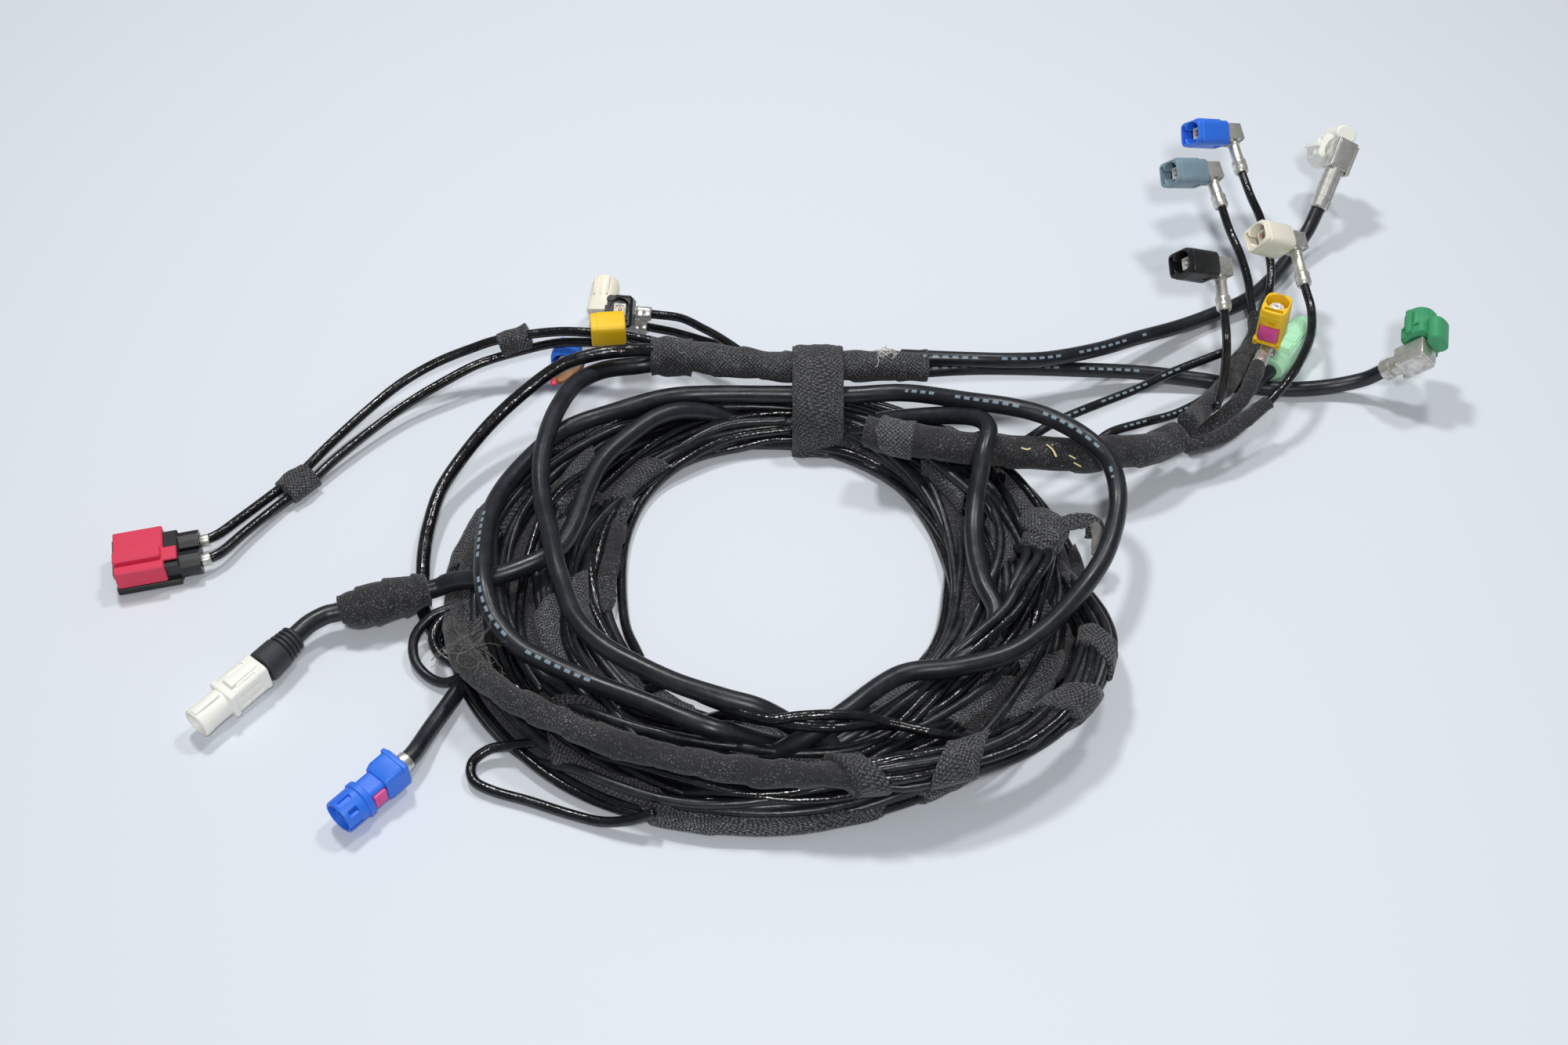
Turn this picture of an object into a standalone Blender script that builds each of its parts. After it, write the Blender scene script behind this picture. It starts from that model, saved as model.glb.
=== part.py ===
# Automotive wiring harness, tied into a flat coil with its connectors spread out.
# Every size below is in millimetres and MM turns it to metres. Z is up, the floor is z = 0,
# and the origin is the centre of the tied coil on the floor.
import math

import bmesh
import bpy
from mathutils import Matrix, Vector

MM = 0.001

# Clearance between pieces that touch on the real harness, and between a cable's end and its crimp.
GAP = 0.3
CRIMP_GAP = 0.6

# The tied coil: an oval ring of strands, lying flat.
COIL_OUTER_CENTRE = (0.0, 0.0)
COIL_OUTER_RADII = (98.0, 87.0)
COIL_INNER_CENTRE = (2.5, 6.5)
COIL_INNER_RADII = (52.5, 57.5)
COIL_HEIGHT = 14.0
COIL_EDGE_HEIGHT = 3.0
COIL_VALLEY = 0.74

# The bundles that show on the coil: place across it (-1 inside, 1 outside), radius, sway, start of the sway.
COIL_BUNDLES = [
    (-0.88, 2.9, 0.03, 2.6), (-0.66, 3.6, 0.08, 5.2), (-0.40, 3.4, 0.10, 1.2), (-0.13, 3.9, 0.10, 3.9),
    (0.14, 3.3, 0.10, 2.2), (0.40, 3.8, 0.10, 0.1), (0.66, 3.5, 0.08, 4.6), (0.89, 2.9, 0.03, 0.9),
]

# Cloth strap that ties the coil at the back.
STRAP_X = 16.9
STRAP_WIDTH = 16.6
STRAP_WALL = 0.9

# Cable and wrap diameters.
DATA_CABLE = 5.8
THIN_DATA_CABLE = 5.0
GLOSSY_CABLE = 4.4
COAX_CABLE = 3.0
TWIN_CABLE = 3.2
TRUNK_WRAP = 11.0
TAPE_WRAP = 10.0
SLEEVE_WRAP = 10.5
THICK_BRANCH = 6.6
THIN_BRANCH = 5.2
MINT_CABLE = 4.6
ROLL_WRAP = 13.4

# Distance between a cord's points, in diameters; closer where its end meets a bent socket squarely.
CORD_SPACING = 2.7
CLOSE_SPACING = 2.1
CLOSE_CORDS = ("white_plug_cable", "white_data_lead", "green_data_lead", "twin_lead_back", "twin_lead_front")

# Coax connector, seen from its crimp: the housing, its keyed mouth and the angled terminal.
HOUSING_LENGTH = 14.0
HOUSING_HALF_WIDTH = 4.5
HOUSING_HALF_HEIGHT = 5.2
HOUSING_BEVEL = 0.9
MOUTH_RADIUS = 3.75
MOUTH_DEPTH = 8.5
KEY_SLOT = (1.5, 6.2, 6.0)
TERMINAL_HALF = 3.2
BARREL_RADIUS = 2.1
BARREL_LENGTH = 8.6
BARREL_WALL = 0.6
FERRULE_RADIUS = 2.1
CRIMP_RADIUS = 2.45
CRIMP_LENGTH = 3.0

# Angled data connector: a ribbed round head on a folded metal body.
HEAD_RADIUS = 5.0
HEAD_LENGTH = 13.5
HEAD_BORE = 3.75
HEAD_BORE_DEPTH = 9.0
HEAD_RIBS = 8
RIB_RADIUS = 0.7
BODY_HALF_WIDTH = 3.9
BODY_HALF_HEIGHT = 3.6
DATA_FERRULE = 3.3

# Twin connector at the end of the two glossy leads.
TWIN_LENGTH = 20.0
TWIN_WIDTH = 17.6
TWIN_HEIGHT = 9.6
TWIN_PORT_RADIUS = 3.5
TWIN_PORT_PITCH = 8.2
TWIN_PORT_DEPTH = 12.0
TWIN_COLLAR_RADIUS = 3.9
TWIN_COLLAR_LENGTH = 6.0
COVER_LENGTH = 15.0
COVER_WALL = 1.1

# Cable routes: centre line points chosen by hand, as (x, y, z).
ROUTES = {
    "outer_loop_cable": [
        (22, -60, 22), (33.5, -49, 21), (42, -43.5, 20), (56, -41.5, 20), (71, -36.5, 20),
        (84, -25.5, 20), (95, -11.5, 20), (103, 1.5, 22), (108, 19, 24), (106.5, 31.5, 28),
        (99.5, 39.5, 31), (89.5, 48, 31), (79, 52.5, 31), (66, 58.5, 28), (45.5, 69.5, 21),
        (27, 72, 17.6), (6, 73, 17), (-20.5, 73, 17), (-34.5, 70, 18), (-48.5, 63, 19),
        (-62.5, 56.5, 18.5), (-71, 47.5, 18.5), (-80, 30.5, 20), (-83.5, 16, 22), (-83.5, -1, 25),
        (-82, -15.5, 26), (-78.5, -26, 24), (-70.5, -35.5, 22), (-60.5, -41.5, 21), (-48, -47.5, 20),
        (-33.5, -54, 20), (-16, -62.5, 20),
    ],
    "left_loop_cable": [
        (-42, 85, 18.5), (-53.5, 81, 20.2), (-61.5, 72, 22.6), (-66, 59.5, 24.4), (-68.5, 47, 24.9),
        (-69.5, 34, 24.2), (-68, 20.5, 23.4), (-64.5, 6.5, 24.3), (-62, -5, 25), (-59, -15, 25),
        (-54, -28.5, 26), (-46, -38.5, 26.5), (-36, -45.5, 26.5), (-24, -52, 26), (-11, -56.5, 25),
        (-1, -58.5, 23),
    ],
    "white_plug_cable": [
        (-35.5, 61, 18), (-44, 52.5, 18), (-51.5, 42, 18), (-55.5, 29.5, 18), (-58, 16.5, 18),
        (-61.5, 6.5, 18), (-66.5, 1, 18.5), (-73, -2.5, 18), (-80, -5, 17.2), (-86, -5, 16),
        (-92, -3.2, 13.2), (-96.5, -2.6, 10.9), (-101.4, -4, 9.4),
    ],
    "glossy_loop_cable": [
        (-34, 85.5, 24.5), (-40, 84.5, 26), (-45.5, 82.5, 27.5), (-54.5, 81, 27.5), (-66, 78.5, 25),
        (-77.5, 72, 20), (-88, 63, 15), (-96.5, 52, 11), (-103, 39.5, 8), (-105.5, 26, 6), (-106, 15, 5),
        (-105.5, 6, 4),
    ],
    "inner_cable": [
        (70, 45.5, 28.5), (68, 36.5, 27.5), (66.5, 30, 24), (65, 22, 20.5), (64, 13.5, 18.5),
        (64, 2.5, 18), (65.5, -9, 18), (68.5, -18, 17),
    ],
    "fleece_trunk": [
        (-84.5, -38.5, 16.5), (-69.5, -52, 17.6), (-51, -63, 18.8), (-33, -70, 18.6),
        (-15.5, -74.5, 18.5), (6, -77.5, 18.3), (27.5, -77.5, 18.1), (49, -74.5, 18), (71.5, -65.5, 17.6),
        (88.5, -50.5, 17), (97, -32.5, 16),
    ],
    "taped_trunk": [
        (-33, 85.5, 24), (-20, 85, 22), (-4.5, 82.5, 21.5), (11, 81, 21.5), (26.5, 82, 21),
        (45.5, 83.5, 20),
    ],
    "fleece_sleeve": [
        (32.5, 52.5, 19.8), (43.5, 50, 19.8), (55.5, 47.5, 19.8), (70.5, 45.5, 19.6), (85, 43.5, 20),
        (100, 43, 19.5), (113, 46, 17.5), (124, 51, 15), (132.5, 57, 12.5),
    ],
    "sleeve_branch_a": [
        (135.6, 58.6, 18.6), (146.5, 73.5, 14.4), (155, 87, 11), (161, 98.5, 8), (168, 112, 5.5),
        (170.5, 122, 6),
    ],
    "sleeve_branch_b": [
        (137.5, 65, 5.5), (147, 68.5, 8), (155.5, 75, 11.5), (160.6, 81.5, 15), (163.2, 87.6, 15.8),
    ],
    "sleeve_branch_c": [(135.7, 54.1, 11.9), (145, 57.5, 12), (155, 64, 13.5), (163.5, 70.5, 15)],
    "white_data_lead": [
        (46.1, 85.5, 22), (65.5, 85, 21.5), (81, 86, 20), (94.5, 90, 17), (112, 99.5, 12.3),
        (127, 109.5, 8.4), (142, 118.5, 5), (155.5, 126.5, 3.5), (169, 134.5, 3.5), (179.5, 145, 4),
        (187.5, 155.5, 6), (194.5, 164.5, 9.5), (198.5, 171, 14),
    ],
    "green_data_lead": [
        (46.2, 84.5, 16.4), (66, 87, 15.5), (84.5, 90, 12.7), (106.5, 93.5, 8.5), (125.5, 95.5, 5.5),
        (144, 94.5, 3.6), (162.5, 91.5, 2.7), (178, 90.2, 2.7), (191, 90.8, 3.6), (200.8, 90.3, 7.2),
        (205.5, 89, 12),
    ],
    "mint_data_lead": [(159.5, 82, 8.1), (165, 88.3, 8.5), (170, 94, 7.6)],
    "blue_lead": [
        (169.9, 174.9, 27), (172, 166.5, 24), (175, 159.5, 20), (177, 151, 15), (177.5, 141.5, 11),
        (175.5, 132, 8), (172.2, 124.4, 6.6),
    ],
    "grey_lead": [
        (160.5, 158, 25), (162.5, 151, 21.5), (165.5, 141.5, 18), (168, 133.5, 12.5), (168.8, 124.4, 6.8),
    ],
    "black_lead": [
        (154.1, 107.1, 22), (154.2, 98, 17.5), (151.5, 84, 17.5), (148.2, 73, 19), (145.8, 65.5, 20.2),
    ],
    "cream_lead": [
        (183.5, 119.8, 22), (184.6, 111, 19.2), (182, 98.5, 18.5), (175, 84, 19), (168.5, 75, 17.5),
        (164.2, 71, 15.2),
    ],
    "printed_lead_1": [
        (97, 58, 22), (109.5, 67.5, 19), (122.5, 77, 16), (135, 87, 13.5), (152.2, 95.4, 14.2),
    ],
    "printed_lead_2": [
        (110, 51.7, 20.9), (120.5, 59.5, 17), (133, 69.5, 11), (142, 77, 8.3), (147, 81.2, 8),
    ],
    "twin_lead_back": [
        (-30, 91.2, 20.8), (-37, 94, 21), (-46, 96, 21.5), (-60.5, 98, 21.5), (-72.5, 99.5, 20),
        (-88.5, 99, 17.5), (-99, 97, 15), (-111, 93, 12), (-122.5, 86.5, 8.5), (-133, 75.5, 6),
        (-143, 62, 4.5), (-150, 50.5, 4), (-157, 41.5, 4), (-166.5, 29, 4.6), (-171.6, 22.6, 4.9),
        (-175.8, 20, 4.9), (-178.6, 19.3, 4.9),
    ],
    "twin_lead_front": [
        (-36.5, 97, 17.5), (-49, 97, 17.5), (-61, 98.5, 16.5), (-71.5, 99.5, 15), (-85, 97.5, 12.5),
        (-97, 94, 10.5), (-108, 87.5, 8.5), (-119, 79.5, 6.5), (-129.5, 69, 5), (-139.5, 57, 4),
        (-147.5, 46, 3), (-155, 37, 3), (-163.5, 24.5, 4), (-169, 15.4, 4.8), (-173.6, 12, 4.9),
        (-176.6, 11.2, 4.9),
    ],
    "white_plug_lead": [
        (-127.9, -11.2, 7.8), (-131.6, -12.3, 7.8), (-136.2, -15.8, 7.8), (-139.4, -20.2, 7.8),
    ],
    "blue_data_lead": [(-103.05, -66.85, 6.2), (-99.5, -61.9, 6.0), (-96, -51.5, 4), (-90.4, -38.2, 3)],
    "torn_black_lead": [(-38.5, 113, 16), (-29, 110, 17), (-21, 102.5, 19), (-15.5, 96.5, 20.5)],
    "cream_back_lead": [(-40, 113, 10), (-31.5, 109, 11.5), (-22, 103, 13.5), (-15.5, 99, 14.5)],
}

# Connectors: the crimp corner, the way the mouth looks and the way the cable leaves.
CONNECTORS = {
    "blue_coax": {"at": (166.6, 189.6, 33.5), "mouth": (-0.90, -0.29, 0.32), "cable_end": (169.9, 174.9, 27)},
    "grey_coax": {"at": (157.1, 171.3, 30.5), "mouth": (-0.90, -0.32, 0.29), "cable_end": (160.5, 158, 25)},
    "black_coax": {"at": (153, 120.6, 30), "mouth": (-0.85, -0.32, 0.42), "cable_end": (154.1, 107.1, 22)},
    "cream_coax": {"at": (181.2, 136.1, 28), "mouth": (-0.85, -0.24, 0.46), "cable_end": (183.5, 119.8, 22)},
    "yellow_coax": {"at": (169.2, 99.8, 15.8), "mouth": (0.0, 0.06, 1.0), "cable_end": (163.4, 88, 15.8)},
    "white_data": {"at": (207.4, 187.3, 28.5), "mouth": (-0.22, 0.68, -0.62), "cable_end": (198.5, 171, 14)},
    "green_data": {"at": (215.3, 86.2, 22.5), "mouth": (0.3, 0.94, 0.16), "cable_end": (205.5, 89, 12)},
    "torn_black": {"at": (-48.7, 113.6, 16.5), "mouth": (0.01, -0.7, 0.72), "cable_end": (-38.5, 113, 16)},
    "cream_back": {"at": (-57.2, 115.6, 8.2), "mouth": (-0.40, 0.88, 0.26), "cable_end": (-40, 113, 10)},
}

PALETTE = {
    "blue_plastic": ((0.03, 0.20, 0.86), 0.42, 0.0),
    "grey_plastic": ((0.22, 0.31, 0.38), 0.45, 0.0),
    "black_plastic": ((0.012, 0.012, 0.014), 0.4, 0.0),
    "cream_plastic": ((0.87, 0.82, 0.70), 0.45, 0.0),
    "yellow_plastic": ((0.88, 0.55, 0.01), 0.4, 0.0),
    "pink_plastic": ((0.75, 0.09, 0.34), 0.42, 0.0),
    "mint_plastic": ((0.49, 0.85, 0.57), 0.45, 0.0),
    "white_plastic": ((0.87, 0.87, 0.83), 0.45, 0.0),
    "green_plastic": ((0.07, 0.37, 0.19), 0.4, 0.0),
    "crimson_plastic": ((0.78, 0.05, 0.12), 0.4, 0.0),
    "tinned_metal": ((0.62, 0.61, 0.58), 0.3, 1.0),
    "boot_rubber": ((0.055, 0.06, 0.065), 0.6, 0.0),
    "cable_jacket": ((0.018, 0.020, 0.024), 0.38, 0.0),
    "coax_jacket": ((0.008, 0.009, 0.010), 0.2, 0.0),
    "cloth_tape": ((0.020, 0.020, 0.021), 0.9, 0.0),
    "fleece_wrap": ((0.016, 0.016, 0.017), 0.95, 0.0),
}


def clear_scene():
    for item in list(bpy.data.objects):
        bpy.data.objects.remove(item, do_unlink=True)


def make_material(name):
    colour, roughness, metallic = PALETTE[name]
    material = bpy.data.materials.get(name) or bpy.data.materials.new(name)
    material.use_nodes = True
    shader = material.node_tree.nodes["Principled BSDF"]
    shader.inputs["Base Color"].default_value = (*colour, 1.0)
    shader.inputs["Roughness"].default_value = roughness
    shader.inputs["Metallic"].default_value = metallic
    material.diffuse_color = (*colour, 1.0)
    return material


def tool_collection():
    collection = bpy.data.collections.get("shaping_tools")
    if collection is None:
        collection = bpy.data.collections.new("shaping_tools")
        bpy.context.scene.collection.children.link(collection)
    return collection


def add_object(name, mesh, material=None, frame=None):
    """An object of this mesh, in the frame's own axes; without a material it is a shaping tool."""
    item = bpy.data.objects.new(name, mesh)
    if material:
        mesh.materials.append(make_material(material))
        bpy.context.scene.collection.objects.link(item)
    else:
        tool_collection().objects.link(item)
        item.hide_render = True
        item.display_type = "WIRE"
    item.parent = frame
    return item


def mesh_from(bm, name):
    bmesh.ops.recalc_face_normals(bm, faces=bm.faces)
    mesh = bpy.data.meshes.new(name)
    bm.to_mesh(mesh)
    bm.free()
    return mesh


def box_mesh(name, low, high, bevel=0.0):
    """A box from its low corner to its high corner, its edges rounded by bevel."""
    bm = bmesh.new()
    size = [high[i] - low[i] for i in range(3)]
    middle = [(high[i] + low[i]) / 2 for i in range(3)]
    place = Matrix.Translation(Vector(middle) * MM) @ Matrix.Diagonal((*[s * MM for s in size], 1))
    bmesh.ops.create_cube(bm, size=1.0, matrix=place)
    if bevel:
        bmesh.ops.bevel(bm, geom=bm.edges[:], offset=bevel * MM, segments=1, affect="EDGES")
    return mesh_from(bm, name)


def rod_mesh(name, start, end, radius, end_radius=None, sides=12):
    """A round rod or cone between two points."""
    start, end = Vector(start) * MM, Vector(end) * MM
    turn = (end - start).to_track_quat("Z", "Y").to_matrix().to_4x4()
    bm = bmesh.new()
    bmesh.ops.create_cone(
        bm,
        cap_ends=True,
        segments=sides,
        radius1=radius * MM,
        radius2=(radius if end_radius is None else end_radius) * MM,
        depth=(end - start).length,
        matrix=Matrix.Translation((start + end) / 2) @ turn,
    )
    return mesh_from(bm, name)


def shape(name, material, frame, base, add=(), cut=()):
    """One body: the base mesh, with other meshes joined on and then cut away."""
    item = add_object(name, base, material, frame)
    tools = [(mesh, "UNION") for mesh in add] + [(mesh, "DIFFERENCE") for mesh in cut]
    for number, (mesh, operation) in enumerate(tools):
        tool = add_object(f"{name}_tool_{number}", mesh, None, frame)
        step = item.modifiers.new(f"{operation.lower()}_{number}", "BOOLEAN")
        step.operation = operation
        step.solver = "EXACT"
        step.object = tool
    return item


def smooth_line(points, spacing):
    """Points about spacing apart on a Catmull-Rom curve through the route's points."""
    line = [Vector(p) for p in points]
    line = [2 * line[0] - line[1]] + line + [2 * line[-1] - line[-2]]
    fine = []
    for i in range(1, len(line) - 2):
        a, b, c, d = line[i - 1 : i + 3]
        for step in range(12):
            t = step / 12
            bend = (2 * a - 5 * b + 4 * c - d) * t**2 + (3 * b - a - 3 * c + d) * t**3
            fine.append(0.5 * (2 * b + (c - a) * t + bend))
    fine.append(line[-2])
    total = sum((q - p).length for p, q in zip(fine, fine[1:]))
    count = max(2, round(total / spacing))
    kept, walked, wanted = [fine[0]], 0.0, total / count
    for p, q in zip(fine, fine[1:]):
        walked += (q - p).length
        if walked >= wanted - 1e-6 and len(kept) < count:
            kept.append(q)
            wanted += total / count
    return kept + [fine[-1]]


def cord(name, diameter, material):
    """A plain round cord along its route, its ends capped."""
    spacing = CLOSE_SPACING if name in CLOSE_CORDS else CORD_SPACING
    line = smooth_line(ROUTES[name], spacing * diameter)
    curve = bpy.data.curves.new(name, "CURVE")
    curve.dimensions = "3D"
    curve.bevel_depth = diameter / 2 * MM
    curve.bevel_resolution = 2
    curve.use_fill_caps = True
    curve.resolution_u = 1
    spline = curve.splines.new("POLY")
    spline.points.add(len(line) - 1)
    for point, place in zip(spline.points, line):
        point.co = (*(place * MM), 1.0)
    return add_object(name, curve, material)


def turned(name, material, profile, frame, sides=20):
    """A turned piece: (radius, height) pairs from the top down, spun about the frame's Z."""
    bm = bmesh.new()
    corners = [bm.verts.new((radius * MM, 0.0, height * MM)) for radius, height in profile]
    for first, second in zip(corners, corners[1:]):
        bm.edges.new((first, second))
    mesh = bpy.data.meshes.new(name)
    bm.to_mesh(mesh)
    bm.free()
    item = add_object(name, mesh, material, frame)
    spin = item.modifiers.new("spin", "SCREW")
    spin.axis = "Z"
    spin.steps = sides
    spin.render_steps = sides
    spin.use_merge_vertices = True
    spin.merge_threshold = 0.00001
    return item


def add_frame(name, at, x_way, y_way):
    """An empty whose X looks along x_way and whose Y is as near as it can be to y_way."""
    x_axis = Vector(x_way).normalized()
    z_axis = x_axis.cross(Vector(y_way)).normalized()
    y_axis = z_axis.cross(x_axis)
    turn = Matrix((x_axis, y_axis, z_axis)).transposed().to_4x4()
    frame = bpy.data.objects.new(name, None)
    bpy.context.scene.collection.objects.link(frame)
    frame.matrix_world = Matrix.Translation(Vector(at) * MM) @ turn
    return frame


def connector_frame(name):
    """The crimp corner's frame: X out of the mouth, -Y along the cable. Also the ferrule's length."""
    place = CONNECTORS[name]
    away = Vector(place["cable_end"]) - Vector(place["at"])
    mouth = Vector(place["mouth"]).normalized()
    mouth = (mouth - mouth.project(away)).normalized()
    return add_frame(f"{name}_frame", place["at"], mouth, -away), away.length


def mound_height(turn, across, half):
    """Height of the coil's top: the round backs of its bundles, side by side on an oval mound."""
    def oval(place):
        return COIL_HEIGHT * math.sqrt(max(1.0 - place * place, 0.0))

    top = max(COIL_VALLEY * oval(across), COIL_EDGE_HEIGHT)
    for place, radius, sway, start in COIL_BUNDLES:
        middle = place + sway * (math.sin(2 * turn + start) + 0.6 * math.sin(3 * turn + 2 * start))
        beside = (across - middle) * half
        if abs(beside) < radius:
            top = max(top, max(oval(middle) - radius, radius) + math.sqrt(radius**2 - beside**2))
    return top


def coil_bundle():
    """The strands of the tied coil as one oval ring of bundles with a flat underside."""
    around, across, over = 50, 31, 25
    bpy.ops.mesh.primitive_torus_add(
        major_segments=around, minor_segments=across, major_radius=1.0, minor_radius=0.25
    )
    ring = bpy.context.active_object
    ring.name = "coil_bundle"
    ring.data.name = "coil_bundle"
    for number, vertex in enumerate(ring.data.vertices):
        turn = math.atan2(vertex.co.y, vertex.co.x)
        step = number % across
        if step < over:
            width = 1.0 - 2.0 * step / (over - 1)
        else:
            width = -0.93 + 1.86 * (step - over) / (across - over - 1)
        outer = Vector(
            (
                COIL_OUTER_CENTRE[0] + COIL_OUTER_RADII[0] * math.cos(turn),
                COIL_OUTER_CENTRE[1] + COIL_OUTER_RADII[1] * math.sin(turn),
            )
        )
        inner = Vector(
            (
                COIL_INNER_CENTRE[0] + COIL_INNER_RADII[0] * math.cos(turn),
                COIL_INNER_CENTRE[1] + COIL_INNER_RADII[1] * math.sin(turn),
            )
        )
        place = (outer + inner) / 2 + (outer - inner) / 2 * width
        top = 0.0
        if step < over:
            top = COIL_EDGE_HEIGHT
            if 0 < step < over - 1:
                top = mound_height(turn, width, (outer - inner).length / 2)
        under_strap = place.y > 0 and abs(place.x - STRAP_X) < STRAP_WIDTH / 2 + 12.0
        floor = STRAP_WALL + GAP if under_strap else 0.0
        vertex.co = Vector((place.x, place.y, max(top, floor))) * MM
    weld = bmesh.new()
    weld.from_mesh(ring.data)
    bmesh.ops.recalc_face_normals(weld, faces=weld.faces)
    weld.to_mesh(ring.data)
    weld.free()
    ring.data.materials.append(make_material("coax_jacket"))
    return ring


def outline_band(name, material, frame, outline, wall, width):
    """A closed band: an outline in the frame's XY plane, extruded along Z, kept above the floor."""
    curve = bpy.data.curves.new(name, "CURVE")
    curve.dimensions = "2D"
    curve.fill_mode = "BOTH"
    curve.extrude = width / 2 * MM
    middle = sum((Vector(p) for p in outline), Vector((0.0, 0.0))) / len(outline)
    lowest = -frame.location.z / MM
    for grow in (0.0, wall):
        spline = curve.splines.new("POLY")
        spline.points.add(len(outline) - 1)
        spline.use_cyclic_u = True
        for point, corner in zip(spline.points, outline):
            away = Vector(corner) - middle
            spot = (Vector(corner) + away.normalized() * grow) * MM
            point.co = (spot.x, max(spot.y, lowest * MM), 0.0, 1.0)
    return add_object(name, curve, material, frame)


def coil_strap():
    """The cloth strap: a loop round the coil, the outer cable and the taped trunk."""
    loop = [
        (57.2, 1.6), (57.6, 13.0), (61.0, 18.5), (67.0, 22.4), (74.0, 26.2), (80.5, 27.6), (86.0, 25.8),
        (88.4, 21.0), (88.6, 12.0), (88.2, 2.2), (87.0, STRAP_WALL), (58.2, STRAP_WALL),
    ]
    frame = add_frame("strap_frame", (STRAP_X, 0.0, 0.0), (0, 1, 0), (0, 0, 1))
    return outline_band("coil_strap", "cloth_tape", frame, loop, STRAP_WALL, STRAP_WIDTH)


def cross_tape():
    """The crossed tape on the right of the coil, with its loose torn end."""
    frame = add_frame("cross_tape_frame", (86.5, 14.5, 15.0), (1, 0.1, 0), (-0.1, 1, 0))
    pad = bmesh.new()
    bmesh.ops.create_uvsphere(
        pad, u_segments=14, v_segments=8, radius=1.0, matrix=Matrix.Diagonal((7.5 * MM, 9 * MM, 2.0 * MM, 1))
    )
    arm = box_mesh("cross_tape_end", (4.0, -3.2, -0.6), (15.5, 3.4, 0.8), 0.3)
    tear = rod_mesh("cross_tape_tear", (14.6, -4.6, -4), (14.6, -4.6, 4), 3.2, sides=5)
    return shape("cross_tape", "cloth_tape", frame, mesh_from(pad, "cross_tape"), [arm], [tear])


def coax_housing(
    name, material, frame, slot_way="z", tall=HOUSING_HALF_HEIGHT, more_cuts=(), length=HOUSING_LENGTH
):
    """A keyed housing: a bevelled block with a round mouth, a key slot and a bore for the terminal."""
    rear = TERMINAL_HALF + GAP
    front = rear + length
    wide = HOUSING_HALF_WIDTH
    thick, across, deep = KEY_SLOT
    if slot_way == "z":
        block = box_mesh(name, (rear, -wide, -wide), (front, wide, tall + 1.0), HOUSING_BEVEL)
        slot = box_mesh(
            "slot", (front - deep, -across / 2, tall - thick - 0.2), (front + 1, across / 2, tall - 0.2)
        )
    else:
        block = box_mesh(name, (rear, -tall - 1.4, -wide), (front, wide, wide), HOUSING_BEVEL)
        slot = box_mesh(
            "slot", (front - deep, -tall - 0.2, -across / 2), (front + 1, thick - tall - 0.2, across / 2)
        )
    mouth = rod_mesh("mouth", (front - MOUTH_DEPTH, 0, 0), (front + 1, 0, 0), MOUTH_RADIUS, sides=14)
    bore = rod_mesh("bore", (rear - 1, 0, 0), (front - MOUTH_DEPTH + 0.5, 0, 0), BARREL_RADIUS + GAP)
    rail = box_mesh("rail", (rear + 1.5, wide - 0.4, -1.2), (front - 2.5, wide + 0.7, 1.2), 0.2)
    return shape(name, material, frame, block, [rail], [mouth, slot, bore, *more_cuts])


def coax_terminal(name, frame, ferrule_length):
    """The folded metal corner, its barrel inside the housing and its crimped ferrule."""
    half = TERMINAL_HALF
    block = box_mesh(name, (-half, -half, -half), (half, half, half), 0.5)
    barrel = rod_mesh("barrel", (half - 1, 0, 0), (half + BARREL_LENGTH, 0, 0), BARREL_RADIUS, sides=8)
    socket = rod_mesh(
        "socket", (half + 3, 0, 0), (half + BARREL_LENGTH + 1, 0, 0), BARREL_RADIUS - BARREL_WALL, sides=8
    )
    end = -ferrule_length + CRIMP_GAP
    neck = rod_mesh("neck", (0, 1 - half, 0), (0, end, 0), FERRULE_RADIUS, sides=10)
    crimp = rod_mesh("crimp", (0, end + 1.2, 0), (0, end + 1.2 + CRIMP_LENGTH, 0), CRIMP_RADIUS, sides=6)
    return shape(name, "tinned_metal", frame, block, [neck, crimp, barrel], [socket])


def coax_connector(name, material):
    frame, ferrule = connector_frame(name)
    coax_housing(f"{name}_housing", material, frame)
    coax_terminal(f"{name}_terminal", frame, ferrule)


def yellow_connector():
    """The upright coax connector: its lock plate sits in a window on the cable side."""
    name = "yellow_coax"
    frame, ferrule = connector_frame(name)
    rear = TERMINAL_HALF + GAP
    tall = HOUSING_HALF_HEIGHT + 1.4
    window = box_mesh("window", (rear + 1.4, -tall, -3.4), (rear + 8.0, -tall + 1.5, 3.4))
    coax_housing(f"{name}_housing", "yellow_plastic", frame, "y", HOUSING_HALF_HEIGHT, [window])
    plate = box_mesh(
        "yellow_coax_lock",
        (rear + 1.4 + GAP, -tall - 0.7, -3.4 + GAP),
        (rear + 8.0 - GAP, -tall + 1.5 - GAP, 3.4 - GAP),
        0.4,
    )
    shape("yellow_coax_lock", "pink_plastic", frame, plate)
    coax_terminal(f"{name}_terminal", frame, ferrule)


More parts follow.
